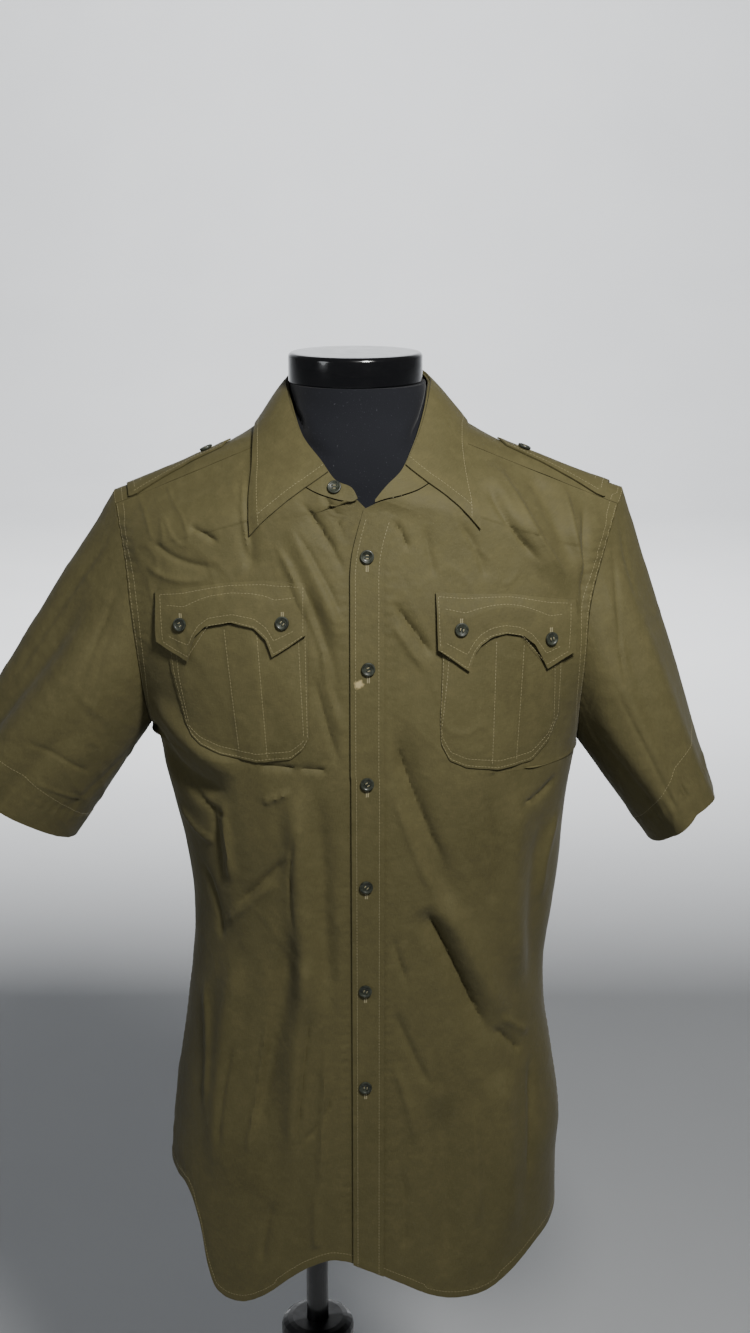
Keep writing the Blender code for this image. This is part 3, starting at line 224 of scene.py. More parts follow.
BACK_FOLDS = [
    # x, z, x, z, x, z, width, height, sharp
    (-150, 1290, -120, 1180, -70, 1060, 12, 4.0, 0),
    (150, 1290, 118, 1180, 72, 1065, 12, 4.0, 0),
    (-60, 1070, -58, 900, -66, 640, 14, 4.5, 0),
    (-20, 1080, -14, 900, -10, 630, 13, -4.5, 0),
    (32, 1075, 34, 900, 30, 630, 14, 4.5, 0),
    (80, 1040, 84, 880, 86, 640, 13, -4.0, 0),
    (128, 1000, 130, 860, 134, 660, 13, 4.0, 0),
    (-118, 1010, -120, 860, -126, 650, 13, -4.0, 0),
    (-170, 1240, -140, 1190, -100, 1160, 5, -2.4, 1),
    (170, 1235, 142, 1186, 98, 1150, 5, -2.4, 1),
    (-165, 1180, -140, 1140, -95, 1100, 5, 2.0, 1),
    (165, 1180, 140, 1140, 95, 1105, 5, 2.0, 1),
    (-100, 1090, -60, 1060, -10, 1052, 5, -2.0, 1),
    (105, 1085, 60, 1040, 14, 1030, 5, 2.0, 1),
    (-90, 1000, -50, 985, -5, 990, 5, 1.8, 1),
    (95, 960, 50, 945, 10, 948, 5, -1.8, 1),
    (-140, 1040, -110, 1010, -60, 1000, 5, -1.8, 1),
    (140, 1010, 112, 980, 66, 975, 5, -1.8, 1),
    (-35, 1300, -30, 1200, -25, 1110, 8, 2.2, 0),
    (35, 1300, 30, 1200, 26, 1110, 8, -2.2, 0),
    (-90, 900, -94, 800, -98, 660, 6, 2.0, 1),
    (55, 880, 56, 780, 58, 650, 6, 2.0, 1),
    (105, 900, 108, 800, 112, 670, 6, -2.0, 1),
    (-40, 860, -38, 760, -36, 640, 6, -2.0, 1),
    (-150, 920, -152, 830, -158, 730, 6, 2.0, 1),
    (152, 930, 154, 830, 158, 720, 6, -2.0, 1),
]
SLEEVE_FOLDS = {
    "right": [
        # place round the ring, place down the sleeve, twice, width, height, sharp
        (0.38, 0.30, 0.41, 0.98, 0.030, -7.0, 0),
        (0.30, 0.25, 0.33, 0.95, 0.035, 3.5, 0),
        (0.22, 0.45, 0.26, 0.98, 0.028, -4.5, 0),
        (0.46, 0.20, 0.48, 0.95, 0.030, 3.0, 0),
        (0.66, 0.20, 0.62, 0.95, 0.035, -4.0, 0),
        (0.80, 0.30, 0.78, 0.95, 0.035, 3.5, 0),
        (0.33, 0.05, 0.24, 0.45, 0.012, -1.8, 1),
        (0.14, 0.55, 0.30, 0.68, 0.016, -2.0, 1),
        (0.10, 0.70, 0.24, 0.80, 0.014, 1.6, 1),
        (0.42, 0.10, 0.43, 0.60, 0.012, -1.8, 1),
        (0.27, 0.10, 0.19, 0.40, 0.014, 1.4, 1),
        (0.70, 0.15, 0.74, 0.70, 0.014, 1.8, 1),
        (0.88, 0.20, 0.84, 0.70, 0.014, -1.8, 1),
        (0.06, 0.30, 0.12, 0.80, 0.016, -1.6, 1),
    ],
    "left": [
        (0.31, 0.25, 0.28, 0.95, 0.032, -4.0, 0),
        (0.38, 0.15, 0.37, 0.90, 0.030, 3.0, 0),
        (0.17, 0.20, 0.20, 0.90, 0.030, 3.0, 0),
        (0.64, 0.20, 0.66, 0.95, 0.035, -4.0, 0),
        (0.80, 0.30, 0.78, 0.95, 0.035, 3.5, 0),
        (0.40, 0.02, 0.28, 0.30, 0.012, -2.0, 1),
        (0.44, 0.02, 0.40, 0.22, 0.010, -1.6, 1),
        (0.34, 0.05, 0.30, 0.35, 0.012, 1.6, 1),
        (0.24, 0.30, 0.22, 0.85, 0.012, -1.6, 1),
        (0.12, 0.20, 0.16, 0.75, 0.014, -1.8, 1),
        (0.58, 0.10, 0.60, 0.70, 0.014, 1.8, 1),
        (0.72, 0.15, 0.72, 0.75, 0.014, -1.8, 1),
        (0.90, 0.25, 0.86, 0.80, 0.014, 1.6, 1),
    ],
}

# Pocket and flap outlines by side: top, the sides downwards, and the lower edge
# from the viewer's left to right.
POCKETS = {
    "right": {"top": [(-171, 1285), (-49.5, 1285)],
              "sides": ([(-171, 1285), (-166, 1240), (-155, 1194)],
                        [(-49.5, 1285), (-49.2, 1235), (-49, 1190)]),
              "low": [(-155, 1194), (-150, 1184), (-142, 1177), (-125, 1171), (-93, 1167),
                      (-64, 1171), (-54, 1180), (-49, 1190)],
              "pleat": ((-120, 1287, -108, 1172), (-92, 1285, -84, 1168))},
    "left": {"top": [(63, 1290), (167, 1284)],
             "sides": ([(63, 1290), (63, 1245), (62, 1205)],
                       [(167, 1284), (167, 1235), (166, 1200)]),
             "low": [(62, 1205), (63, 1184), (70, 1170), (84, 1163), (112, 1158),
                     (142, 1161), (157, 1176), (166, 1200)],
             "pleat": ((109, 1277, 107, 1160), (133, 1272, 128, 1160))},
}
FLAPS = {
    "right": {"top": [(-178, 1307), (-115, 1319), (-84, 1322), (-50, 1321)],
              "sides": ([(-178, 1307), (-177, 1286), (-176, 1266)],
                        [(-50, 1321), (-50, 1300), (-50, 1279)]),
              "low": [(-176, 1266), (-162, 1258), (-149, 1252), (-147, 1262), (-143, 1273),
                      (-134, 1282), (-112, 1287), (-93, 1283), (-83, 1274), (-80, 1266),
                      (-78, 1260), (-64, 1269), (-50, 1279)]},
    "left": {"top": [(57, 1313), (120, 1309), (176, 1299)],
             "sides": ([(57, 1313), (58, 1290), (59, 1266)],
                       [(176, 1299), (176, 1278), (175, 1256)]),
             "low": [(59, 1266), (73, 1256), (85, 1247), (87, 1254), (90, 1262), (95, 1269),
                     (104, 1275), (116, 1277), (130, 1274), (140, 1266), (146, 1255),
                     (151, 1244), (162, 1250), (175, 1256)]},
}
STRAPS = {
    "right": [(-118, -5), (-125, -17), (-162, -21), (-206, -24), (-213, 9),
              (-170, 11), (-127, 9)],
    "left": [(113, -5), (120, -17), (160, -21), (206, -24), (215, 10),
             (170, 12), (123, 9)],
}
FRONT_BUTTONS = [(0.5, 1343), (1.5, 1251), (0.5, 1151), (-0.5, 1055), (-1.5, 953),
                 (-1.5, 857)]
FLAP_BUTTONS = [("right", -157, 1283), ("right", -70, 1289), ("left", 79, 1283),
                ("left", 156, 1270)]
STRAP_BUTTONS = [("right", -140, -8), ("left", 137, -8)]
STAND_HOLE = (27.0, 1392.0)
STAND_HOLE_LENGTH = 12.0

# The dress form's rings and its turned neck cap.
CAP_R = 58.3
CAP_H = 25.0
CAP_TOP = 1500.0
NECK_X = -10.0
FORM_ROWS = [
    # z, half width, front depth, back depth, x of the middle, closeness
    (705, 112, 62, 60, 0, 8),
    (712, 128, 76, 72, 0, 8),
    (735, 150, 92, 86, 0, 8),
    (790, 160, 100, 92, 0, 8),
    (850, 156, 99, 88, 0, 8),
    (910, 148, 98, 84, 0, 8),
    (960, 144, 99, 84, 0, 8),
    (1020, 149, 104, 88, 0, 8),
    (1080, 158, 110, 92, 0, 8),
    (1140, 166, 113, 96, 0, 8),
    (1200, 171, 112, 98, 0, 8),
    (1260, 176, 108, 98, 0, 8),
    (1310, 180, 104, 95, 0, 6),
    (1345, 182, 99, 88, 0, 4),
    (1370, 178, 94, 80, -1, 3),
    (1388, 162, 88, 76, -2, 2.5),
    (1400, 142, 84, 72, -3, 3.0),
    (1412, 118, 79, 69, -4, 3.2),
    (1424, 96, 74, 66, -5, 3.4),
    (1436, 80, 68, 62, -6, 3.4),
    (1448, 68, 63, 60, -7, 3.0),
    (1460, 62, 60, 59, -7, 2.4),
    (1474.6, 59, 58, 58, -8, 1.8),
]


# Reading the tables

def along(knots, values, t):
    """Smooth value of a table at t: cubic pieces through its rows."""
    k = np.asarray(knots, float)
    v = np.asarray(values, float)
    t = np.clip(np.asarray(t, float), k[0], k[-1])
    flat = v.ndim == 1
    if flat:
        v = v[:, None]
    m = np.empty_like(v)
    m[1:-1] = (v[2:] - v[:-2]) / (k[2:] - k[:-2])[:, None]
    m[0] = (v[1] - v[0]) / (k[1] - k[0])
    m[-1] = (v[-1] - v[-2]) / (k[-1] - k[-2])
    i = np.clip(np.searchsorted(k, t, side="right") - 1, 0, len(k) - 2)
    h = (k[i + 1] - k[i])[..., None]
    s = (t - k[i])[..., None] / h
    a = (2 * s ** 3 - 3 * s ** 2 + 1) * v[i] + (s ** 3 - 2 * s ** 2 + s) * h * m[i]
    b = (-2 * s ** 3 + 3 * s ** 2) * v[i + 1] + (s ** 3 - s ** 2) * h * m[i + 1]
    out = a + b
    return out[..., 0] if flat else out


def lengths(points):
    step = np.linalg.norm(np.diff(points, axis=0), axis=1)
    return np.concatenate([[0.0], np.cumsum(step)])


def even_points(points, count):
    points = np.asarray(points, float)
    run = lengths(points)
    place = np.linspace(0, run[-1], count)
    return np.stack([np.interp(place, run, points[:, i]) for i in range(points.shape[1])], 1)


def section(z):
    table = np.array(SECTIONS, float)
    got = along(table[:, 0], table[:, 1:], z)
    return got[..., 0], got[..., 1], got[..., 2], got[..., 3]


def hem_height(table, x):
    table = np.array(table, float)
    return along(table[:, 0], table[:, 1], x)


def armhole(side, t):
    table = np.array(ARMHOLE, float)
    if side == "right":
        ring = np.stack([-table[:, 0], table[:, 4], table[:, 1]], 1)
    else:
        ring = np.stack([table[:, 2], table[:, 4], table[:, 3]], 1)
    wide = np.concatenate([ring[-3:], ring, ring[:4]])
    run = lengths(wide)
    total = run[3 + len(ring)] - run[3]
    return along((run - run[3]) / total, wide, np.asarray(t, float))


def collar_lines(t):
    table = np.array(COLLAR, float)
    got = along(np.arange(len(table)), table, t)
    return got[..., :3], got[..., 3:]


def body_arc(x0, y0, x1, y1, count, first=None):
    """Even points on the oval through two points of a level section."""
    n = ROUND
    rows = np.array([[abs(x0) ** n, abs(y0) ** n], [abs(x1) ** n, abs(y1) ** n]])
    a_inv, b_inv = np.linalg.solve(rows, np.ones(2))
    a, b = a_inv ** (-1 / n), b_inv ** (-1 / n)
    start = math.atan2((abs(x0) / a) ** (n / 2), (abs(y0) / b) ** (n / 2))
    end = math.atan2((abs(x1) / a) ** (n / 2), (abs(y1) / b) ** (n / 2))
    start = start if x0 >= 0 else -start
    angle = np.linspace(start, end, 600)
    s, c = np.sin(angle), np.cos(angle)
    x = a * np.sign(s) * np.abs(s) ** (2 / n)
    y = b * np.abs(c) ** (2 / n)
    run = lengths(np.stack([x, y], 1))
    if first is None:
        place = np.linspace(0, run[-1], count)
    else:
        rest = np.linspace(first[-1], run[-1], count - len(first) + 1)[1:]
        place = np.concatenate([first, rest])
    return np.interp(place, run, x), np.interp(place, run, y)


def fold_height(folds, x, z, soft_only=False):
    """Height of the folds at points of a front view."""
    out = np.zeros_like(x)
    for x0, z0, x1, z1, x2, z2, width, height, sharp in folds:
        if soft_only and sharp:
            continue
        reach = width * 4
        near = ((x > min(x0, x1, x2) - reach) & (x < max(x0, x1, x2) + reach)
                & (z > min(z0, z1, z2) - reach) & (z < max(z0, z1, z2) + reach))
        if not near.any():
            continue
        xs, zs = x[near], z[near]
        s = np.linspace(0, 1, 9)
        mx, mz = 2 * x1 - (x0 + x2) / 2, 2 * z1 - (z0 + z2) / 2
        px = (1 - s) ** 2 * x0 + 2 * s * (1 - s) * mx + s ** 2 * x2
        pz = (1 - s) ** 2 * z0 + 2 * s * (1 - s) * mz + s ** 2 * z2
        best = np.full(xs.shape, 1e9)
        where = np.zeros(xs.shape)
        for i in range(8):
            dx, dz = px[i + 1] - px[i], pz[i + 1] - pz[i]
            f = np.clip(((xs - px[i]) * dx + (zs - pz[i]) * dz) / (dx * dx + dz * dz), 0, 1)
            d = np.hypot(xs - px[i] - f * dx, zs - pz[i] - f * dz)
            where = np.where(d < best, (i + f) / 8, where)
            best = np.minimum(d, best)
        fade = np.clip(where / 0.25, 0, 1) * np.clip((1 - where) / 0.25, 0, 1)
        fade = fade * fade * (3 - 2 * fade)
        shape = np.exp(-(best / width) ** 2)
        if sharp:
            shape = 1 / (1 + (best / (width * 0.7)) ** 2) ** 1.5
        out[near] += height * fade * shape * (SHARP_GAIN if sharp else SOFT_GAIN)
    return out


def ripple(x, z, seed, size_x, size_z, octaves=3):
    """Smooth uneven waves from -1 to 1, of a stated size across and up."""
    out = np.zeros_like(x)
    weight = 0.0
    rng = np.random.RandomState(seed)
    for octave in range(octaves):
        lattice = rng.uniform(-1, 1, (64, 64))
        u = x / size_x * 2 ** octave + 17.3 * octave
        v = z / size_z * 2 ** octave + 5.1 * octave
        iu, iv = np.floor(u).astype(int), np.floor(v).astype(int)
        fu, fv = u - iu, v - iv
        fu, fv = fu * fu * (3 - 2 * fu), fv * fv * (3 - 2 * fv)
        a = lattice[iu % 64, iv % 64] * (1 - fu) + lattice[(iu + 1) % 64, iv % 64] * fu
        b = lattice[iu % 64, (iv + 1) % 64] * (1 - fu) + lattice[(iu + 1) % 64, (iv + 1) % 64] * fu
        out += (a * (1 - fv) + b * fv) * 0.5 ** octave
        weight += 0.5 ** octave
    return out / weight


def rumple(x, z, seed, amount):
    """Small creases of worn cotton: thin ridges where uneven waves cross zero."""
    warp_x = x + 9 * ripple(x, z, seed + 5, 40, 40, 2)
    warp_z = z + 9 * ripple(x, z, seed + 6, 40, 40, 2)
    wave = ripple(warp_x + 0.45 * warp_z, warp_z, seed, 30, 62, 2)
    ridge = 1 - np.clip(np.abs(wave) * 5.0, 0, 1)
    where = np.clip(ripple(x, z, seed + 9, 90, 80, 1) + 0.35, 0, 1)
    soft = ripple(x + 0.25 * z, z, seed + 3, 38, 105, 3)
    return amount * (0.9 * ridge * ridge * where + 1.5 * soft)


def side_swell(distance, x, z, where):
    """The right side seam lies in, and the layers beside it stand out."""
    level = np.clip((z - 715) / 40, 0, 1) * np.clip((915 - z) / 110, 0, 1)
    level = level * level * (3 - 2 * level) * (x < 0)
    seam = -3.5 * np.exp(-(distance / 9) ** 2)
    far, wide, tall = (20, 10, 1.5) if where == "front" else (26, 15, 5.5)
    return level * (seam + tall * np.exp(-((distance - far) / wide) ** 2))


def grid_normals(grid, outward, ring=False):
    du = np.gradient(grid, axis=1)
    if ring:
        du = (np.roll(grid, -1, axis=1) - np.roll(grid, 1, axis=1)) / 2
    dv = np.gradient(grid, axis=0)
    n = np.cross(du, dv)
    n /= np.maximum(np.linalg.norm(n, axis=2, keepdims=True), 1e-9)
    if np.mean(np.sum(n * outward(grid), axis=2)) < 0:
        n = -n
    return n


def from_axis(grid):
    out = grid * np.array([1.0, 1.6, 0.0])
    out[..., 2] = np.where(grid[..., 2] > 1380, 60.0, 0.0)
    return out


def step_in(points, other, amount):
    d = other - points
    return points + d / np.maximum(np.linalg.norm(d, axis=-1, keepdims=True), 1e-9) * amount


def across(grid):
    """Distance along each row of a grid from its first column."""
    run = np.linalg.norm(np.diff(grid, axis=1), axis=2)
    return np.concatenate([np.zeros((len(grid), 1)), np.cumsum(run, axis=1)], axis=1)


def upward(grid):
    """Distance along each column of a grid from its first row."""
    run = np.linalg.norm(np.diff(grid, axis=0), axis=2)
    return np.concatenate([np.zeros((1, grid.shape[1])), np.cumsum(run, axis=0)], axis=0)


def pucker(distance, place, seed, reach=7.0, pitch=8.0, amount=0.35):
    """Small waves that a seam draws up beside itself."""
    shift = 2.2 * ripple(place, distance * 0, seed, 35, 35, 2)
    size = 0.6 + 0.6 * ripple(place, distance * 0, seed + 1, 50, 50, 1)
    wave = np.sin(2 * math.pi * place / pitch + shift)
    return amount * size * wave * np.exp(-(distance / reach) ** 2)


# The cloth's surfaces

COLUMNS = 118
PLACKET_COLUMNS = 14
LOW_ROWS = 96
EVEN_ROWS = 70
CHEST_ROWS = 84
NECK_ROWS_FINE = 44
PLACKET_ROWS = LOW_ROWS + EVEN_ROWS + CHEST_ROWS - 3


def low_row(side, w, columns, depth_column, first, hem_table):
    sign = -1.0 if side == "right" else 1.0
    level = np.full(columns, 700.0 + (WAIST_Z - 700) * w)
    for _ in range(3):
        widths = section(level)
        wide = widths[0] if side == "right" else widths[1]
        deep = widths[depth_column]
        start = -13.0 if first is not None else 0.0
        x, y = body_arc(start, deep.mean(), wide.mean(), 0.01, columns, first)
        x = x * (wide / wide.mean()) ** np.clip(x / wide.mean(), 0, 1)
        y = y * deep / deep.mean()
        hem = hem_height(hem_table, sign * x)
        level = hem + (WAIST_Z - hem) * w
    return x, y, level


def front_base(side):
    sign = -1.0 if side == "right" else 1.0
    table = np.array(FRONT_ROWS, float)
    neck = np.array(NECK_ROWS, float)
    first = np.linspace(0, 28, PLACKET_COLUMNS)
    grid = []
    for w in np.linspace(0, 1, LOW_ROWS + 1)[:-1]:
        x, y, z = low_row(side, w, COLUMNS, 2, first, HEM)
        grid.append(np.stack([sign * x, -y, z], 1))
    for z in np.linspace(WAIST_Z, PIT_Z, EVEN_ROWS + 1)[:-1]:
        widths = section(z)
        wide = float(widths[0] if side == "right" else widths[1])
        x, y = body_arc(-13.0, float(widths[2]), wide, 0.01, COLUMNS, first)
        grid.append(np.stack([sign * x, -y, np.full(COLUMNS, z)], 1))
    starts = []
    for k in np.linspace(0, 5, CHEST_ROWS):
        x0, y0, z0, share = along(np.arange(len(table)), table, k)
        x0 = 12.0 * min(1.0, (5 - k) / 0.12) if side == "right" else x0
        starts.append((-x0, y0, z0, share, first))
    for place in np.linspace(0.15, 5.5, NECK_ROWS_FINE):
        share = float(along(neck[:, 0], neck[:, 1], place))
        seam = collar_lines(place if side == "right" else 20.0 - place)[0]
        ease = 1 - 0.5 * min(1.0, place)
        starts.append((sign * seam[0], seam[1], seam[2], share, first * ease))
    for x0, y0, z0, share, begin in starts:
        end = armhole(side, share * YOKE_FRONT_SHARE)
        x, y = body_arc(x0, y0, abs(end[0]), min(end[1], -0.01), COLUMNS, begin)
        level = max(x0, 16.0)
        z = z0 + (end[2] - z0) * np.clip((x - level) / (abs(end[0]) - level), 0, 1)
        grid.append(np.stack([sign * x, -y, z], 1))
    return eased(np.array(grid), LOW_ROWS + EVEN_ROWS + CHEST_ROWS - 1)


def eased(grid, row, reach=26, sigma=9.0):
    """Softens the bend that the rows make where they change their start."""
    out = grid.copy()
    offsets = np.arange(-24, 25)
    weights = np.exp(-(offsets / sigma) ** 2 / 2)
    weights /= weights.sum()
    inward = np.clip((across(grid) - 26) / 30, 0, 1)
    edge = np.clip((across(grid)[:, -1:] - across(grid)) / 30, 0, 1)
    for r in range(row - reach, min(row + reach, len(grid) - 26)):
        share = math.cos(math.pi / 2 * (r - row) / reach) ** 2
        soft = np.einsum("i,ijk->jk", weights, grid[r + offsets])
        keep = (inward[r] * edge[r] * share)[:, None]
        out[r] = grid[r] * (1 - keep) + soft * keep
    return out


def front_panel(side):
    grid = front_base(side)
    normals = grid_normals(grid, from_axis)
    x, z = grid[..., 0], grid[..., 2]
    run = across(grid)
    rise = upward(grid)
    inner = np.clip((np.abs(x) - 15) / 12, 0, 1)
    to_side = run[:, -1:] - run
    outer = np.clip(to_side / 12, 0, 1)
    top = np.clip((rise[-1:] - rise) / 14, 0, 1)
    height = fold_height(FRONT_FOLDS, x, z)
    height += rumple(x, z, 11 if side == "right" else 23, 0.9)
    hem = np.clip(rise / 20, 0, 1)
    height *= inner * outer * top * (0.35 + 0.65 * hem)
    height += side_swell(to_side, x, z, "front")
    height += pucker(to_side - 4, z, 31, reach=10.0, amount=0.6) * top
    height += pucker(np.abs(np.abs(x) - 19), z, 35, 5, 9, 0.30) * (np.abs(x) > 15.5) * (z < 1370)
    height += pucker(rise - 5, x, 37, 6, 9, 0.30)
    height += 0.35 * (rise < 6.5)
    if side == "right":
        height -= UNDERLAP * (1 - np.clip((np.abs(x) - 16) / 8, 0, 1))
    grid = grid + normals * height[..., None]
    return grid, grid_normals(grid, from_axis)


def back_panel():
    half = 62
    table = np.array(BACK_ROWS, float)
    rows = [("low", w) for w in np.linspace(0, 1, 81)[:-1]]
    rows += [("even", z) for z in np.linspace(WAIST_Z, PIT_Z, 51)[:-1]]
    rows += [("high", k) for k in np.linspace(0, 4, 50)]
    grid = []
    for kind, k in rows:
        sides = []
        for side in ("right", "left"):
            sign = -1.0 if side == "right" else 1.0
            if kind == "high":
                y0, z0, share = along(np.arange(len(table)), table, k)
                end = armhole(side, 1 - share * (1 - YOKE_BACK_SHARE))
                x, y = body_arc(0.0, y0, abs(end[0]), max(end[1], 0.01), half + 1)
                z = z0 + (end[2] - z0) * x / x[-1]
            elif kind == "low":
                x, y, z = low_row(side, k, half + 1, 3, None, BACK_HEM)
            else:
                widths = section(k)
                wide = float(widths[0] if side == "right" else widths[1])
                x, y = body_arc(0.0, float(widths[3]), wide, 0.01, half + 1)
                z = np.full(half + 1, k)
            sides.append(np.stack([sign * x, y, z], 1))
        grid.append(np.concatenate([sides[0][::-1], sides[1][1:]]))
    grid = np.array(grid)
    normals = grid_normals(grid, from_axis)
    x, z = grid[..., 0], grid[..., 2]
    run, rise = across(grid), upward(grid)
    to_side = np.minimum(run, run[:, -1:] - run)
    top = np.clip((rise[-1:] - rise) / 14, 0, 1)
    height = fold_height(BACK_FOLDS, x, z) + rumple(x, z, 41, 1.0)
    height *= np.clip(to_side / 14, 0, 1) * top * (0.35 + 0.65 * np.clip(rise / 20, 0, 1))
    height += side_swell(to_side, x, z, "back")
    height += pucker(to_side - 4, z, 43, amount=0.5) * top
    height += pucker(rise - 5, x, 45, 6, 9, 0.30) + 0.35 * (rise < 6.5)
    grid = grid + normals * height[..., None]
    return grid, grid_normals(grid, from_axis)


def facing_up(grid):
    return np.broadcast_to([0.0, 0.4, 1.0], grid.shape)


def yoke_panel(left_front, right_front, back):
    shoulder, middle, down = 34, 80, 40
    ring = np.linspace(YOKE_FRONT_SHARE, YOKE_BACK_SHARE, shoulder + 1)
    back_line = even_points(back[-1], middle + 1)
    outer = np.concatenate([armhole("right", ring), back_line[1:-1], armhole("left", ring)[::-1]])
    t = np.concatenate([np.linspace(5.5, 8.0, shoulder + 1),
                        np.linspace(8.0, 12.0, middle + 1)[1:-1],
                        np.linspace(12.0, 14.5, shoulder + 1)])
    inner = collar_lines(t)[0]
    v = np.linspace(0, 1, down)[:, None]
    grid = inner[None] * (1 - v[..., None]) + outer[None] * v[..., None]
    lift = np.sin(math.pi * v) * np.where(grid[..., 1] > 30, (grid[..., 1] - 30) / 60, 0)
    normals = grid_normals(grid, facing_up)
    grid = grid + normals * (lift * 7.0)[..., None]
    cells = len(t)
    for front, column, step in ((right_front, 0, 1), (left_front, -1, -1)):
        edge = even_points(front[-1], down)
        move = edge - grid[:, column] + np.array([0.0, 1.0, 0.15]) * SEAM
        for i in range(16):
            grid[:, column + step * i] += move * (1 - i / 16)
    last = grid[-1, shoulder:cells - shoulder].copy()
    grid[-1, shoulder:cells - shoulder] = step_in(last, grid[-2, shoulder:cells - shoulder], SEAM)
    normals = grid_normals(grid, facing_up)
    x, y = grid[..., 0], grid[..., 1]
    rise = upward(grid)
    edge = np.minimum(rise, rise[-1:] - rise)
    height = rumple(x, y, 53, 0.5) * np.clip(edge / 10, 0, 1)
    height += pucker(rise[-1:] - rise - 3, x + y, 57, 6, 8, 0.25)
    grid = grid + normals * height[..., None]
    return grid, grid_normals(grid, facing_up)


def sleeve_hem_ring(side, t):
    centre, reach, depth, rise = SLEEVE_HEM[side]
    c, s = np.cos(2 * math.pi * t), np.sin(2 * math.pi * t)
    front = np.clip(s, 0, 1) ** 2
    x = centre[0] - reach[0] * c
    y = centre[1] - depth * s
    z = centre[2] - reach[1] * c + rise * front
    return np.stack([x, y, z], 1)


def sleeve_panel(side):
    around, down = 150, 84
    t = np.arange(around) / around
    top, low = armhole(side, t), sleeve_hem_ring(side, t)
    under = np.clip(np.cos(2 * math.pi * t), 0, 1)[:, None] ** 3
    top = top + (low - top) / np.linalg.norm(low - top, axis=1, keepdims=True) * ARM_SEAM
    sign = -1.0 if side == "right" else 1.0
    top = top + under * np.array([sign * PIT_SEAM, 0, 0.4])
    rows = []
    for v in np.linspace(0, 1, down):
        ring = top * (1 - v) + low * v
        ring[:, 1] *= 1 + 0.10 * math.sin(math.pi * v)
        rows.append(ring)
    grid = np.array(rows)
    out = lambda g: g - g.mean(axis=1, keepdims=True)
    normals = grid_normals(grid, out, ring=True)
    v = np.linspace(0, 1, down)[:, None] * np.ones((1, around))
    tt = np.ones((down, 1)) * t[None, :]
    height = np.zeros(grid.shape[:2])
    for t0, v0, t1, v1, width, tall, sharp in SLEEVE_FOLDS[side]:
        line = t0 + (t1 - t0) * np.clip((v - v0) / (v1 - v0), 0, 1)
        fade = np.clip((v - v0 + 0.12) / 0.2, 0, 1)
        if sharp:
            fade = fade * np.clip((v1 + 0.08 - v) / 0.15, 0, 1)
        gap = np.abs(tt - line)
        gap = np.minimum(gap, 1 - gap) / width
        shape = 1 / (1 + (gap / 0.7) ** 2) ** 1.5 if sharp else np.exp(-gap ** 2)
        height += tall * fade * shape
    rise = upward(grid)
    turn = np.cos(2 * math.pi * tt) * 60, np.sin(2 * math.pi * tt) * 60
    height += rumple(turn[0] + rise * 0.3, turn[1] + rise, 61 if side == "right" else 67, 0.9)
    height *= np.clip(v / 0.10, 0, 1)
    to_hem = rise[-1:] - rise
    around_run = tt * 420
    height += pucker(rise - 3, around_run, 71, 6, 8, 0.35)
    height += pucker(np.abs(to_hem - 28), around_run, 73, 9, 9.5, 0.75)
    height += 0.4 * (to_hem < 28)
    grid = grid + normals * height[..., None]
    return grid, grid_normals(grid, out, ring=True)


# Making meshes

def to_metres(points):
    out = np.array(points, float)
    out[:, 0] += MIDDLE
    return out * MM


def mesh_piece(name, verts, faces, material, uv=None, angle=50):
    """A finished piece: its place is in its mesh, in metres."""
    mesh = bpy.data.meshes.new(name)
    mesh.from_pydata(to_metres(verts).tolist(), [], faces)
    if uv is not None:
        layer = mesh.uv_layers.new(name="cloth")
        index = np.empty(len(mesh.loops), dtype=np.int64)
        mesh.loops.foreach_get("vertex_index", index)
        layer.data.foreach_set("uv", np.asarray(uv, float)[index].ravel())
    mesh.polygons.foreach_set("use_smooth", [True] * len(mesh.polygons))
    mesh.update()
    mesh.set_sharp_from_angle(angle=math.radians(angle))
    item = bpy.data.objects.new(name, mesh)
    bpy.context.scene.collection.objects.link(item)
    item.data.materials.append(material)
    return item


def grid_faces(rows, cols, start=0, flip=False, ring=False):
    r, c = np.meshgrid(np.arange(rows - 1), np.arange(cols if ring else cols - 1), indexing="ij")
    a = start + r * cols + c
    b = start + r * cols + (c + 1) % cols
    d, e = a + cols, b + cols
    quads = np.stack([a, b, e, d] if not flip else [a, d, e, b], -1).reshape(-1, 4)
    return quads.tolist()


def wall(name, grid, normals, material, thick=CLOTH, ring=False, shift=0.0):
    """A thin cloth shell on a grid of points."""
    rows, cols = grid.shape[:2]
    outer = grid + normals * (shift + thick / 2)
    inner = grid + normals * (shift - thick / 2)
    verts = np.concatenate([outer.reshape(-1, 3), inner.reshape(-1, 3)])
    base = rows * cols
    faces = grid_faces(rows, cols, 0, False, ring)
    faces += grid_faces(rows, cols, base, True, ring)
    for c in range(cols if ring else cols - 1):
        a, b = c, (c + 1) % cols
        faces.append([a, base + a, base + b, b])
        a, b = (rows - 1) * cols + c, (rows - 1) * cols + (c + 1) % cols
        faces.append([a, b, base + b, base + a])
    if not ring:
        for r in range(rows - 1):
            a, b = r * cols, (r + 1) * cols
            faces.append([a, b, base + b, base + a])
            a, b = r * cols + cols - 1, (r + 1) * cols + cols - 1
            faces.append([a, base + a, base + b, b])
    run, rise = across(grid), upward(grid)
    uv = np.stack([run, rise], -1).reshape(-1, 2) * MM
    n = np.cross(grid[0, 1] - grid[0, 0], grid[1, 0] - grid[0, 0])
    if np.dot(n, normals[0, 0]) < 0:
        faces = [f[::-1] for f in faces]
    return mesh_piece(name, verts, faces, material, np.concatenate([uv, uv]))


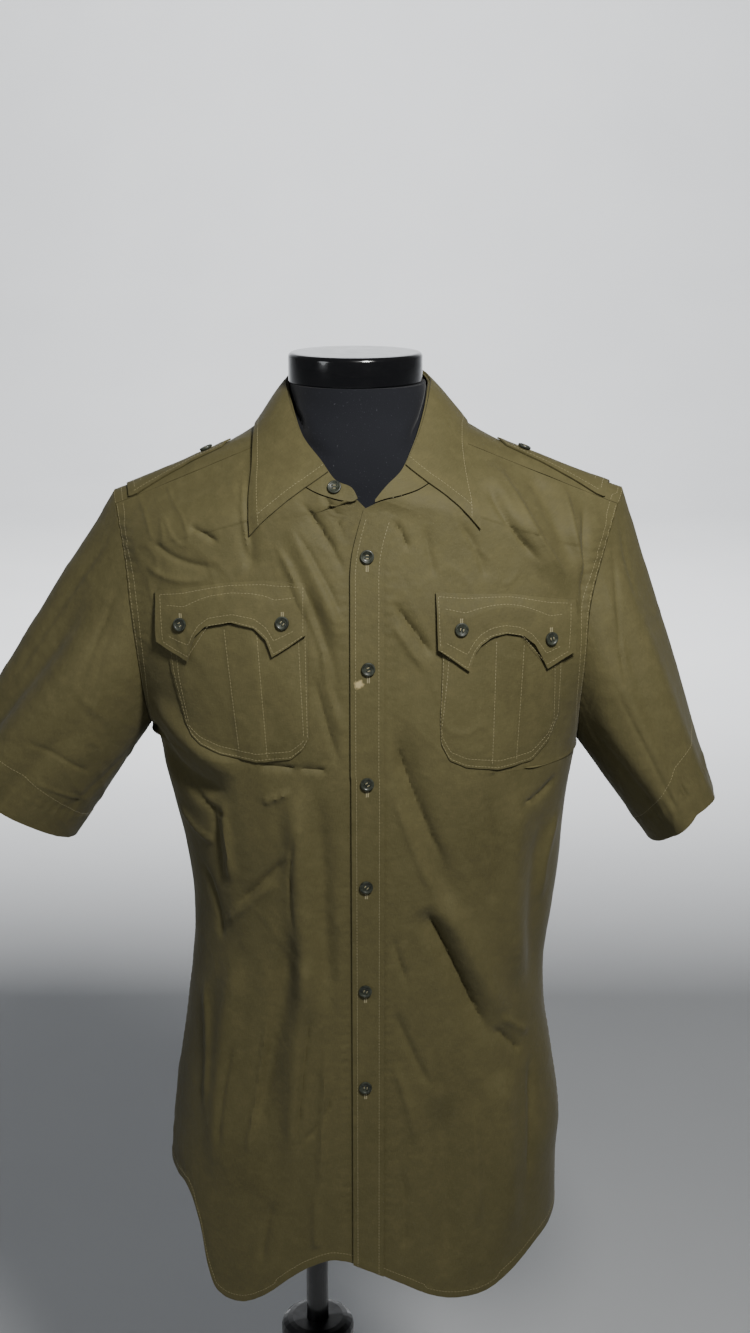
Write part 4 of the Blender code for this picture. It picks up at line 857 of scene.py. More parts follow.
class Surface:
    """A grid's outside, for laying things on it from a flat view."""

    def __init__(self, grid, normals, axes, ring=False, lift=0.0):
        self.grid, self.normals, self.axes = grid, normals, axes
        rows, cols = grid.shape[:2]
        self.points = (grid + normals * lift).reshape(-1, 3)
        self.flat_normals = normals.reshape(-1, 3)
        quads = np.array(grid_faces(rows, cols, 0, False, ring))
        self.tris = np.concatenate([quads[:, [0, 1, 2]], quads[:, [0, 2, 3]]])
        self.tree = BVHTree.FromPolygons(self.points.tolist(), self.tris.tolist())

    def at(self, place):
        """Point and smooth normal where a straight look meets the surface."""
        origin, way = Vector((0, 0, 0)), Vector((0, 0, 0))
        for value, axis in zip(place, self.axes):
            origin[axis] = value
        free = ({0, 1, 2} - set(self.axes)).pop()
        origin[free] = -400 if free == 1 else 2000
        way[free] = 1 if free == 1 else -1
        hit, face, index, distance = self.tree.ray_cast(origin, way)
        if hit is None:
            return None
        a, b, c = (self.points[i] for i in self.tris[index])
        p = np.array(hit)
        m = np.stack([b - a, c - a], 1)
        w, _, _, _ = np.linalg.lstsq(m, p - a, rcond=None)
        n = self.flat_normals[self.tris[index]]
        normal = n[0] * (1 - w[0] - w[1]) + n[1] * w[0] + n[2] * w[1]
        return p, normal / np.linalg.norm(normal)


def patch_grid(outline, rows, cols):
    """A grid that fills an outline of a top, two sides and a lower edge."""
    top, low = even_points(outline["top"], cols), even_points(outline["low"], cols)
    left = even_points(outline["sides"][0], rows)
    right = even_points(outline["sides"][1], rows)
    u = np.linspace(0, 1, cols)[None, :, None]
    v = np.linspace(0, 1, rows)[:, None, None]
    corners = ((1 - u) * (1 - v) * top[0] + u * (1 - v) * top[-1]
               + (1 - u) * v * low[0] + u * v * low[-1])
    return (1 - v) * top[None] + v * low[None] + (1 - u) * left[:, None] + u * right[:, None] - corners


def lay(surface, flat, height):
    """Points of a flat grid laid on a surface at a height above it."""
    grid = np.zeros(flat.shape[:2] + (3,))
    normals = np.zeros_like(grid)
    for r in range(flat.shape[0]):
        for c in range(flat.shape[1]):
            got = surface.at(flat[r, c])
            if got is None:
                got = grid[r, c - 1], normals[r, c - 1]
            grid[r, c], normals[r, c] = got
    return grid + normals * np.asarray(height)[..., None], normals


def tree_of(item):
    item.data.calc_loop_triangles()
    verts = [v.co.copy() for v in item.data.vertices]
    return BVHTree.FromPolygons(verts, [tuple(t.vertices) for t in item.data.loop_triangles])


def cleared(grid, normals, trees, space):
    """Moves a layer out, softly, where it would touch what lies under it."""
    need = np.zeros(grid.shape[:2])
    for r in range(grid.shape[0]):
        for c in range(grid.shape[1]):
            p = Vector(((grid[r, c, 0] + MIDDLE) * MM, grid[r, c, 1] * MM, grid[r, c, 2] * MM))
            n = Vector(normals[r, c])
            for tree in trees:
                hit = tree.ray_cast(p + n * 15 * MM, -n, 22 * MM)
                if hit[0] is not None:
                    need[r, c] = max(need[r, c], 15 - hit[3] / MM + space)
    soft = need
    for _ in range(6):
        wide = np.pad(soft, 1, mode="edge")
        mean = wide[:-2, 1:-1] + wide[2:, 1:-1] + wide[1:-1, :-2] + wide[1:-1, 2:] + 4 * soft
        soft = np.maximum(need, mean / 8)
    return grid + normals * soft[..., None]


# Sewing

class Sewing:
    """Collects stitches along lines and makes them one mesh."""

    def __init__(self):
        self.verts, self.faces = [], []

    def line(self, points, normals, pitch=STITCH):
        points, normals = np.asarray(points, float), np.asarray(normals, float)
        run = lengths(points)
        count = int(run[-1] / pitch)
        for i in range(count):
            a, b = (i + 0.10) * pitch, (i + 0.86) * pitch
            ends = [np.array([np.interp(s, run, points[:, k]) for k in range(3)]) for s in (a, b)]
            n = np.array([np.interp((a + b) / 2, run, normals[:, k]) for k in range(3)])
            self.stitch(ends[0], ends[1], n / max(np.linalg.norm(n), 1e-9))

    def stitch(self, a, b, n, thick=THREAD):
        way = b - a
        size = np.linalg.norm(way)
        if size < 1e-6:
            return
        way = way / size
        side = np.cross(n, way)
        start = len(self.verts)
        for f, swell, lift in ((0.0, 0.45, -0.10), (0.2, 0.95, 0.06), (0.8, 0.95, 0.06), (1.0, 0.45, -0.10)):
            middle = a + way * size * f + n * lift
            for k in range(6):
                angle = math.pi * k / 3
                out = side * math.cos(angle) + n * math.sin(angle) * 0.7
                self.verts.append(middle + out * thick / 2 * swell)
        for ring in range(3):
            for k in range(6):
                p, q = start + ring * 6 + k, start + ring * 6 + (k + 1) % 6
                self.faces.append([p, q, q + 6, p + 6])
        self.faces.append([start + k for k in range(6)][::-1])
        self.faces.append([start + 18 + k for k in range(6)])

    def piece(self, name, material):
        return mesh_piece(name, np.array(self.verts), self.faces, material, None, 80)


def looked_at(surface, places):
    """A line of places in a flat view, laid on a surface."""
    got = [surface.at(p) for p in places]
    got = [g for g in got if g is not None]
    return np.array([g[0] for g in got]), np.array([g[1] for g in got])


def moved_in(flat, margin):
    """Four border lines of a flat grid, moved in by a margin."""
    rows, cols = flat.shape[:2]
    wide = np.linalg.norm(flat[rows // 2, -1] - flat[rows // 2, 0])
    tall = np.linalg.norm(flat[-1, cols // 2] - flat[0, cols // 2])
    c = max(1, round(margin / wide * cols))
    r = max(1, round(margin / tall * rows))
    return {"top": flat[r, c:cols - c], "low": flat[rows - 1 - r, c:cols - c],
            "left": flat[r:rows - r, c], "right": flat[r:rows - r, cols - 1 - c]}


# Materials

def colour(hex_value):
    """A screen colour as linear light."""
    out = []
    for shift in (16, 8, 0):
        c = ((hex_value >> shift) & 255) / 255
        out.append(c / 12.92 if c <= 0.04045 else ((c + 0.055) / 1.055) ** 2.4)
    return (*out, 1.0)


def add(tree, kind, values=None, **options):
    """A node with its options and socket values set."""
    node = tree.nodes.new(kind)
    for key, value in options.items():
        setattr(node, key, value)
    for key, value in (values or {}).items():
        node.inputs[key].default_value = value
    return node


def new_material(name, rough=0.5, metal=0.0, sheen=0.0, coat=0.0, specular=0.5):
    material = bpy.data.materials.new(name)
    material.use_nodes = True
    tree = material.node_tree
    shader = tree.nodes["Principled BSDF"]
    shader.inputs["Roughness"].default_value = rough
    shader.inputs["Metallic"].default_value = metal
    shader.inputs["Sheen Weight"].default_value = sheen
    shader.inputs["Sheen Roughness"].default_value = 0.45
    shader.inputs["Coat Weight"].default_value = coat
    shader.inputs["Specular IOR Level"].default_value = specular
    return material, tree, shader


def noise(tree, vector, scale, detail=3.0, rough=0.5):
    node = add(tree, "ShaderNodeTexNoise", {"Scale": scale, "Detail": detail, "Roughness": rough})
    tree.links.new(vector, node.inputs["Vector"])
    return node.outputs["Fac"]


def mix(tree, factor, a, b, blend="MIX"):
    node = add(tree, "ShaderNodeMix", data_type="RGBA", blend_type=blend)
    for value, socket in ((factor, 0), (a, 6), (b, 7)):
        if isinstance(value, (int, float, tuple)):
            node.inputs[socket].default_value = value
        else:
            tree.links.new(value, node.inputs[socket])
    return node.outputs[2]


def spread(tree, value, low, high, to_low=0.0, to_high=1.0):
    node = add(tree, "ShaderNodeMapRange", {"From Min": low, "From Max": high,
                                            "To Min": to_low, "To Max": to_high})
    tree.links.new(value, node.inputs["Value"])
    return node.outputs["Result"]


def maths(tree, kind, a, b=None):
    node = add(tree, "ShaderNodeMath", operation=kind)
    for i, value in enumerate((a, b)):
        if value is None:
            continue
        if isinstance(value, (int, float)):
            node.inputs[i].default_value = value
        else:
            tree.links.new(value, node.inputs[i])
    return node.outputs[0]


OLIVE = 0x5E5839
OLIVE_DARK = 0x4A4529
OLIVE_PALE = 0x726A46
THREAD_COLOUR = 0xA49A70


def olive_cotton(name, deep=0.0, spot=None):
    """Washed olive cotton: plain weave, faded ridges, a faint sheen."""
    material, tree, shader = new_material(name, rough=0.72, sheen=0.05, specular=0.30)
    places = add(tree, "ShaderNodeTexCoord").outputs["Object"]
    lengths_uv = add(tree, "ShaderNodeUVMap", uv_map="cloth").outputs["UV"]
    wide = noise(tree, places, 9.0, 3.0)
    fade = noise(tree, places, 90.0, 4.0, 0.6)
    base = mix(tree, spread(tree, wide, 0.35, 0.65), colour(OLIVE), colour(OLIVE_DARK))
    base = mix(tree, spread(tree, wide, 0.30, 0.70, 0.15, 0.85 - deep), colour(OLIVE_DARK), base)
    base = mix(tree, spread(tree, fade, 0.45, 0.75, 0.0, 0.20), base, colour(OLIVE_PALE))
    stretch = add(tree, "ShaderNodeMapping", {"Scale": (2600.0, 180.0, 1.0)})
    tree.links.new(lengths_uv, stretch.inputs["Vector"])
    warp = noise(tree, stretch.outputs["Vector"], 1.0, 2.0)
    stretch_two = add(tree, "ShaderNodeMapping", {"Scale": (180.0, 2600.0, 1.0)})
    tree.links.new(lengths_uv, stretch_two.inputs["Vector"])
    weft = noise(tree, stretch_two.outputs["Vector"], 1.0, 2.0)
    threads = maths(tree, "MULTIPLY", warp, weft)
    base = mix(tree, spread(tree, threads, 0.12, 0.42, 0.0, 0.30), base, colour(OLIVE_PALE))
    if spot is not None:
        away = add(tree, "ShaderNodeVectorMath", {1: spot}, operation="DISTANCE")
        tree.links.new(places, away.inputs[0])
        uneven = maths(tree, "SUBTRACT", noise(tree, places, 420.0, 3.0), 0.5)
        ragged = maths(tree, "ADD", away.outputs["Value"], maths(tree, "MULTIPLY", uneven, 0.006))
        base = mix(tree, spread(tree, ragged, 0.0022, 0.0046, 0.85, 0.0), base, colour(0xB5A57A))
    tree.links.new(base, shader.inputs["Base Color"])
    rough = spread(tree, fade, 0.3, 0.7, 0.66, 0.78)
    tree.links.new(rough, shader.inputs["Roughness"])
    crumple = noise(tree, places, 120.0, 5.0, 0.55)
    relief = add(tree, "ShaderNodeBump", {"Strength": 0.45, "Distance": 0.0014})
    tree.links.new(crumple, relief.inputs["Height"])
    weave = add(tree, "ShaderNodeBump", {"Strength": 0.25, "Distance": 0.00015})
    tree.links.new(threads, weave.inputs["Height"])
    tree.links.new(relief.outputs["Normal"], weave.inputs["Normal"])
    tree.links.new(weave.outputs["Normal"], shader.inputs["Normal"])
    return material


def thread_material():
    """Olive sewing thread, a little paler than the cloth."""
    material, tree, shader = new_material("sewing_thread", rough=0.55, sheen=0.3)
    places = add(tree, "ShaderNodeTexCoord").outputs["Object"]
    twist = noise(tree, places, 1500.0, 2.0)
    base = mix(tree, twist, colour(THREAD_COLOUR), colour(0x6E6648))
    tree.links.new(base, shader.inputs["Base Color"])
    return material


def pale_thread():
    """Paler thread of the buttonholes."""
    material, tree, shader = new_material("buttonhole_thread", rough=0.6, sheen=0.3)
    places = add(tree, "ShaderNodeTexCoord").outputs["Object"]
    twist = noise(tree, places, 1800.0, 2.0)
    base = mix(tree, twist, colour(0xA59D7C), colour(0x857C5B))
    tree.links.new(base, shader.inputs["Base Color"])
    return material


def button_material(name, tint):
    """Cast plastic with the dark green-brown swirl of imitation horn."""
    material, tree, shader = new_material(name, rough=0.42, coat=0.12, specular=0.40)
    places = add(tree, "ShaderNodeTexCoord").outputs["Object"]
    swirl = noise(tree, places, 260.0, 4.0, 0.6)
    base = mix(tree, spread(tree, swirl, 0.35, 0.65), colour(tint), colour(0x3C4036))
    tree.links.new(base, shader.inputs["Base Color"])
    fine = noise(tree, places, 900.0, 3.0)
    tree.links.new(spread(tree, fine, 0.3, 0.7, 0.36, 0.50), shader.inputs["Roughness"])
    return material


def black_jersey():
    """Black knitted cover of the dress form, with a little lint."""
    material, tree, shader = new_material("black_jersey", rough=0.92, sheen=0.10, specular=0.12)
    places = add(tree, "ShaderNodeTexCoord").outputs["Object"]
    wide = noise(tree, places, 14.0, 3.0)
    lint = noise(tree, places, 700.0, 2.0)
    base = mix(tree, wide, colour(0x191A1E), colour(0x212227))
    base = mix(tree, spread(tree, lint, 0.68, 0.80, 0.0, 0.5), base, colour(0x55565C))
    tree.links.new(base, shader.inputs["Base Color"])
    knit = noise(tree, places, 1100.0, 3.0)
    relief = add(tree, "ShaderNodeBump", {"Strength": 0.4, "Distance": 0.0004})
    tree.links.new(knit, relief.inputs["Height"])
    tree.links.new(relief.outputs["Normal"], shader.inputs["Normal"])
    return material


def gloss_black(name, rough, metal=0.0, dust=0.10):
    """Glossy black cap or enamel with fine dust and scuffs."""
    material, tree, shader = new_material(name, rough=rough, metal=metal, coat=0.5, specular=0.5)
    places = add(tree, "ShaderNodeTexCoord").outputs["Object"]
    specks = noise(tree, places, 620.0, 4.0, 0.65)
    base = mix(tree, spread(tree, specks, 0.62, 0.80, 0.0, dust), colour(0x0B0B0D), colour(0x8A8A8A))
    tree.links.new(base, shader.inputs["Base Color"])
    scuff = noise(tree, places, 90.0, 5.0, 0.6)
    tree.links.new(spread(tree, scuff, 0.3, 0.75, rough * 0.8, rough * 1.9), shader.inputs["Roughness"])
    return material


# Building

def ridden(item, *nodes, slot=None):
    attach(item, "root")
    if nodes:
        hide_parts(*nodes)
    return item


def cloth_piece(item, name):
    ridden(item, name, slot="olive_cotton")
    return item


def button_mesh(name, base, normal, material, thread, turn=0.0):
    """A four-hole button with a raised rim and its thread."""
    n = Vector(normal).normalized()
    side = Vector((0, 0, 1)) if abs(n.z) < 0.9 else Vector((0, 1, 0))
    u = n.cross(side).normalized()
    w = n.cross(u).normalized()
    u, w = u * math.cos(turn) + w * math.sin(turn), w * math.cos(turn) - u * math.sin(turn)
    base = Vector(base)
    r = BUTTON_D / 2
    around = 44
    profile = [(r - 0.9, 0.0), (r - 0.25, 0.25), (r, 0.8), (r, BUTTON_H - 0.7),
               (r - 0.25, BUTTON_H - 0.2), (r - 0.8, BUTTON_H), (r - 1.3, BUTTON_H - 0.08),
               (r - 1.8, BUTTON_H - 0.55), (r - 2.15, BUTTON_H - 0.8)]
    verts, faces = [], []

    def put(x, y, z):
        verts.append(tuple(base + u * x + w * y + n * z))
        return len(verts) - 1

    for radius, height in profile:
        for k in range(around):
            a = 2 * math.pi * k / around
            put(radius * math.cos(a), radius * math.sin(a), height)
    for i in range(len(profile) - 1):
        for k in range(around):
            a, b = i * around + k, i * around + (k + 1) % around
            faces.append([a, b, b + around, a + around])
    faces.append([k for k in range(around)][::-1])
    floor = BUTTON_H - 0.8
    last = (len(profile) - 1) * around
    loops = [[last + k for k in range(around)]]
    hole_r, hole_at = 0.72, 1.35
    for sx, sy in ((1, 1), (-1, 1), (-1, -1), (1, -1)):
        top = []
        for k in range(12):
            a = -2 * math.pi * k / 12
            top.append(put(sx * hole_at + hole_r * math.cos(a), sy * hole_at + hole_r * math.sin(a), floor))
        loops.append(top)
        low = [put(sx * hole_at + hole_r * math.cos(-2 * math.pi * k / 12),
                   sy * hole_at + hole_r * math.sin(-2 * math.pi * k / 12), 0.5) for k in range(12)]
        for k in range(12):
            faces.append([top[k], top[(k + 1) % 12], low[(k + 1) % 12], low[k]])
        faces.append(low)
    flat = []
    index = []
    for loop in loops:
        reach = [Vector(verts[i]) - base for i in loop]
        flat.append([Vector((r.dot(u), r.dot(w), 0)) for r in reach])
        index += loop
    for a, b, c in tessellate_polygon(flat):
        faces.append([index[a], index[b], index[c]])
    item = mesh_piece(name, np.array(verts), faces, material, None, 40)
    work = bmesh.new()
    work.from_mesh(item.data)
    bmesh.ops.recalc_face_normals(work, faces=work.faces)
    work.to_mesh(item.data)
    work.free()
    for y in (hole_at, -hole_at):
        for lift in (0.0, 0.28):
            a = base + u * (-hole_at) + w * (y + lift * 0.5) + n * (floor + 0.15 + lift * 0.3)
            b = base + u * hole_at + w * (y + lift * 0.5) + n * (floor + 0.15 + lift * 0.3)
            thread.stitch(np.array(a), np.array(b), np.array(n), 0.55)
    return item


def highest_under(point, normal, tree):
    n = Vector(normal).normalized()
    side = Vector((0, 0, 1)) if abs(n.z) < 0.9 else Vector((0, 1, 0))
    u = n.cross(side).normalized()
    w = n.cross(u).normalized()
    best = -1e9
    for radius in (0, 0.5, 1.0):
        for k in range(12):
            a = 2 * math.pi * k / 12
            spot = Vector(point) + (u * math.cos(a) + w * math.sin(a)) * radius * BUTTON_D / 2
            start = Vector(((spot.x + MIDDLE) * MM, spot.y * MM, spot.z * MM)) + n * 0.02
            hit = tree.ray_cast(start, -n)
            if hit[0] is not None:
                best = max(best, 20.0 - hit[3] / MM)
    return Vector(point) + n * (best + GAP * 0.5)


def buttonhole(sewing, surface, place, length=15.0, along_x=False, lift=0.0):
    """A worked slit: two dense rows of thread beside each other."""
    for offset in (-0.75, 0.75):
        line = []
        for f in np.linspace(-0.5, 0.5, 30):
            if along_x:
                line.append((place[0] + f * length, place[1] + offset))
            else:
                line.append((place[0] + offset, place[1] + f * length))
        points, normals = looked_at(surface, line)
        if len(points) < 4:
            continue
        points = points + normals * lift
        run = lengths(points)
        count = int(run[-1] / 0.55)
        for i in range(count):
            s = (i + 0.5) * 0.55
            p = np.array([np.interp(s, run, points[:, k]) for k in range(3)])
            n = np.array([np.interp(s, run, normals[:, k]) for k in range(3)])
            way = points[-1] - points[0]
            way = way / np.linalg.norm(way)
            side = np.cross(n, way)
            sewing.stitch(p - side * 0.62, p + side * 0.62, n, 0.5)


def build_shirt():
    sewing, pale = Sewing(), Sewing()
    right, right_n = front_panel("right")
    left, left_n = front_panel("left")
    back, back_n = back_panel()
    yoke, yoke_n = yoke_panel(left, right, back)
    for grid in (right, left):
        grid[:, -1] = step_in(grid[:, -1], grid[:, -2], SEAM / 2)
        grid[-1] = step_in(grid[-1], grid[-2], SEAM / 2)
    for column, beside in ((0, 1), (-1, -2)):
        back[:, column] = step_in(back[:, column], back[:, beside], SEAM / 2)

    spot = ((MIDDLE - 6.5) * MM, -0.1305, 1.238)
    items = {}
    items["front_right"] = wall("shirt_front_right", right, right_n, olive_cotton("olive_front_right"))
    items["front_left"] = wall("shirt_front_left", left, left_n, olive_cotton("olive_front_left"))
    items["back"] = wall("shirt_back", back, back_n, olive_cotton("olive_back"))
    items["yoke"] = wall("shirt_yoke", yoke, yoke_n, olive_cotton("olive_yoke", 0.2))
    strip = left[:PLACKET_ROWS, :PLACKET_COLUMNS]
    strip_n = left_n[:PLACKET_ROWS, :PLACKET_COLUMNS]
    rise = upward(strip)
    run = across(strip)
    wave = pucker(run - 4, rise, 81, 5, 9, 0.28) + pucker(run[:, -1:] - run - 4, rise, 83, 5, 9, 0.28)
    strip = strip + strip_n * (CLOTH + GAP + np.abs(wave))[..., None]
    items["placket"] = wall("shirt_placket", strip, strip_n, olive_cotton("olive_placket", 0.0, spot))
    for column in (2, PLACKET_COLUMNS - 3):
        sewing.line(strip[:, column] + strip_n[:, column] * (CLOTH / 2), strip_n[:, column])
    placket_view = Surface(strip, strip_n, (0, 2), lift=CLOTH / 2)

    for side in ("right", "left"):
        grid, normals = sleeve_panel(side)
        items["sleeve_" + side] = wall("shirt_sleeve_" + side, grid, normals,
                                       olive_cotton("olive_sleeve_" + side, 0.15), ring=True)
        outside = grid + normals * CLOTH / 2
        fall = upward(grid)[:, 0]
        row = int(np.searchsorted(fall, fall[-1] - 28.0))
        loop = np.concatenate([outside[row], outside[row, :1]])
        sewing.line(loop, np.concatenate([normals[row], normals[row, :1]]))

    # the collar: stand, then the fall laid over it and over the fronts and yoke
    t = np.linspace(0, 20, 181)
    seam, fold = collar_lines(t)
    up = (fold - seam) / np.linalg.norm(fold - seam, axis=1, keepdims=True)
    seam = seam + up * 1.0
    v = np.linspace(0, 1, 14)[:, None, None]
    stand = seam[None] * (1 - v) + fold[None] * v
    stand_n = grid_normals(stand, lambda g: g - np.array([-6.0, 0.0, 1400.0]))
    items["collar_stand"] = wall("shirt_collar_stand", stand, stand_n,
                                 olive_cotton("olive_collar_stand", 0.1), thick=1.5)
    inside = stand - stand_n * 0.75
    for row in (2, 11):
        sewing.line(inside[row], -stand_n[row])
    table = np.array(FALL_EDGE, float)
    t = np.linspace(table[0, 0], table[-1, 0], 190)
    seam, fold = collar_lines(t)
    edge = along(table[:, 0], table[:, 1:], t)
    away = fold - np.array([-6.0, 0.0, 1400.0])
    away[:, 2] = 0
    away /= np.linalg.norm(away, axis=1, keepdims=True)
    start = fold + away * 2.0 + np.array([0, 0, 0.6])
    v = np.linspace(0, 1, 30)[:, None, None]
    fall = start[None] * (1 - v) + edge[None] * v + away[None] * 2.5 * np.sin(math.pi * v) * (1 - v)
    middle_of = np.array([-6.0, 0.0, 1380.0])
    fall_n = grid_normals(fall, lambda g: g - middle_of)
    run = across(fall)
    wave = ripple(run, upward(fall), 91, 38, 26, 2) * 1.0
    fall = fall + fall_n * (wave * v[..., 0])[..., None]
    trees = [tree_of(items[k]) for k in ("front_right", "front_left", "yoke", "collar_stand")]
    for _ in range(2):
        fall_n = grid_normals(fall, lambda g: g - middle_of)
        fall = cleared(fall, fall_n, trees, 1.3)
    fall_n = grid_normals(fall, lambda g: g - middle_of)
    items["collar_fall"] = wall("shirt_collar_fall", fall, fall_n,
                                olive_cotton("olive_collar_fall", 0.1), thick=1.4)
    outside = fall + fall_n * 0.7
    rows, cols = fall.shape[:2]
    sewing.line(outside[rows - 5], fall_n[rows - 5])
    for column in (4, cols - 5):
        sewing.line(outside[:rows - 4, column], fall_n[:rows - 4, column])

    # pockets and flaps
    fronts = {"right": (right, right_n), "left": (left, left_n)}
    views = {side: Surface(*fronts[side], (0, 2)) for side in fronts}
    flap_views = {}
    for side in ("right", "left"):
        flat = patch_grid(POCKETS[side], 64, 64)
        tall = np.full(flat.shape[:2], CLOTH / 2 + GAP + 0.5)
        u = np.linspace(0, 1, 64)[None, :] * np.ones((64, 1))
        v = np.linspace(0, 1, 64)[:, None] * np.ones((1, 64))
        inside_edge = np.minimum(np.minimum(u, 1 - u), 1 - v) * 110
        body = np.clip(inside_edge / 14, 0, 1)
        tall += body * (1.2 + 0.5 * ripple(flat[..., 0], flat[..., 1], 101, 34, 30, 3))
        for i, (x0, z0, x1, z1) in enumerate(POCKETS[side]["pleat"]):
            line = x0 + (x1 - x0) * (z0 - flat[..., 1]) / (z0 - z1)
            d = flat[..., 0] - line
            step = 1 / (1 + np.exp(-d / 0.8)) if i == 0 else 1 / (1 + np.exp(d / 0.8))
            if i == 0:
                ridge = step
            else:
                ridge = ridge * step
        tall += 0.9 * ridge
        tall += pucker(inside_edge - 3, flat[..., 0] + flat[..., 1], 103, 5, 8, 0.18)
        grid, normals = lay(views[side], flat, tall)
        items["pocket_" + side] = wall("shirt_pocket_" + side, grid, normals,
                                       olive_cotton("olive_pocket_" + side), thick=0.9)
        pocket_view = Surface(grid, normals, (0, 2), lift=0.45)
        for margin in (2.0, 8.0):
            lines = moved_in(flat, margin)
            for key in ("left", "low", "right"):
                sewing.line(*looked_at(pocket_view, lines[key]))
        for x0, z0, x1, z1 in POCKETS[side]["pleat"]:
            places = [(x0 + (x1 - x0) * f, z0 + (z1 - z0) * f) for f in np.linspace(0.05, 0.98, 60)]
            sewing.line(*looked_at(pocket_view, places))
        flat = patch_grid(FLAPS[side], 40, 96)
        tall = np.full(flat.shape[:2], CLOTH / 2 + GAP + 1.0 + GAP + 0.7)
        u = np.linspace(0, 1, 96)[None, :] * np.ones((40, 1))
        v = np.linspace(0, 1, 40)[:, None] * np.ones((1, 96))
        tall += np.clip(v * 3, 0, 1) * (1.9 + 0.5 * ripple(flat[..., 0], flat[..., 1], 105, 30, 26, 2))
        tall += 0.9 * np.clip((v - 0.6) / 0.4, 0, 1) ** 2
        grid, normals = lay(views[side], flat, tall)
        items["pocket_flap_" + side] = wall("shirt_flap_" + side, grid, normals,
                                            olive_cotton("olive_flap_" + side), thick=1.3)
        flap_views[side] = Surface(grid, normals, (0, 2), lift=0.65)
        for margin in (2.0, 7.5):
            lines = moved_in(flat, margin)
            keys = ("top", "left", "right", "low") if margin < 3 else ("top", "low")
            for key in keys:
                sewing.line(*looked_at(flap_views[side], lines[key]))

    # shoulder straps
    strap_views = {}
    yoke_view = Surface(yoke, yoke_n, (0, 1))
    for side in ("right", "left"):
        points = STRAPS[side]
        tip, front_in, front_mid, front_out, back_out, back_mid, back_in = points
        outline = {"top": [back_in, back_mid, back_out], "low": [front_in, front_mid, front_out],
                   "sides": ([back_in, tip, front_in], [back_out, front_out])}
        flat = patch_grid(outline, 26, 60)
        tall = np.full(flat.shape[:2], CLOTH / 2 + GAP + 0.7)
        tall += 0.35 * ripple(flat[..., 0], flat[..., 1], 107, 25, 18, 2) + 0.35
        grid, normals = lay(yoke_view, flat, tall)
        items["strap_" + side] = wall("shirt_strap_" + side, grid, normals,
                                      olive_cotton("olive_strap_" + side, 0.1), thick=1.3)
        strap_views[side] = Surface(grid, normals, (0, 1), lift=0.65)
        lines = moved_in(flat, 3.0)
        for key in ("top", "low", "left"):
            sewing.line(*looked_at(strap_views[side], lines[key]))
        for margin in (4.0, 10.0):
            sewing.line(*looked_at(strap_views[side], moved_in(flat, margin)["right"]))

    # seams of the panels
    for grid, normals in (fronts["right"], fronts["left"]):
        outside = grid + normals * CLOTH / 2
        run = across(grid)
        for inset in (2.0, 8.0):
            line, n = [], []
            for r in range(len(grid)):
                c = int(np.searchsorted(run[r], run[r, -1] - inset))
                line.append(outside[r, min(c, grid.shape[1] - 1)])
                n.append(normals[r, min(c, grid.shape[1] - 1)])
            sewing.line(line, n)
        rise = upward(grid)
        for inset, span in ((6.0, range(grid.shape[1])),):
            line = [outside[int(np.searchsorted(rise[:, c], inset)), c] for c in span]
            n = [normals[int(np.searchsorted(rise[:, c], inset)), c] for c in span]
            sewing.line(line, n)
    outside = back + back_n * CLOTH / 2
    rise = upward(back)
    rows = [int(np.searchsorted(rise[:, c], 6.0)) for c in range(back.shape[1])]
    sewing.line([outside[r, c] for c, r in enumerate(rows)], [back_n[r, c] for c, r in enumerate(rows)])
    outside = yoke + yoke_n * CLOTH / 2
    rise = upward(yoke)
    for inset in (2.0, 8.0):
        rows = [int(np.searchsorted(rise[:, c], rise[-1, c] - inset)) for c in range(yoke.shape[1])]
        sewing.line([outside[r, c] for c, r in enumerate(rows)], [yoke_n[r, c] for c, r in enumerate(rows)])

    # buttons, with the slits they pass through
    dark = button_material("button_dark", 0x1D2019)
    tree = tree_of(items["placket"])
    for i, place in enumerate(FRONT_BUTTONS):
        point, normal = placket_view.at(place)
        buttonhole(pale, placket_view, (place[0], place[1] - 4.5), 15.0)
        base = highest_under(point, normal, tree)
        item = button_mesh(f"shirt_button_front_{i + 1}", base, normal, dark, pale, 0.3 * i)
        ridden(item, f"button_front_{i + 1}", slot="dark_button")
    for i, (side, x, z) in enumerate(FLAP_BUTTONS):
        point, normal = flap_views[side].at((x, z))
        buttonhole(pale, flap_views[side], (x, z + 2.0), 15.0)
        base = highest_under(point, normal, tree_of(items["pocket_flap_" + side]))
        item = button_mesh(f"shirt_button_flap_{i + 1}", base, normal, dark, pale, 0.5 + 0.4 * i)
        ridden(item, f"button_flap_{i + 1}", slot="dark_button")
    for side, x, y in STRAP_BUTTONS:
        point, normal = strap_views[side].at((x, y))
        buttonhole(pale, strap_views[side], (x, y), 14.0, True)
        base = highest_under(point, normal, tree_of(items["strap_" + side]))
        item = button_mesh("shirt_button_strap_" + side, base, normal, dark, pale, 0.2)
        ridden(item, "button_strap_" + side, slot="dark_button")
    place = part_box("button_stand")
    middle = [(a + b) / 2 for a, b in zip(*place)]
    point = np.array([middle[0] / MM - MIDDLE, middle[1] / MM, middle[2] / MM])
    hit = np.argmin(np.linalg.norm(stand.reshape(-1, 3) - point, axis=1))
    normal = stand_n.reshape(-1, 3)[hit]
    base = highest_under(point, normal, tree_of(items["collar_stand"]))
    item = button_mesh("shirt_button_stand", base, normal, dark, pale, 0.1)
    ridden(item, "button_stand", slot="dark_button")

    for name, item in items.items():
        cloth_piece(item, name)
    ridden(sewing.piece("shirt_stitches", thread_material()), slot="olive_cotton")
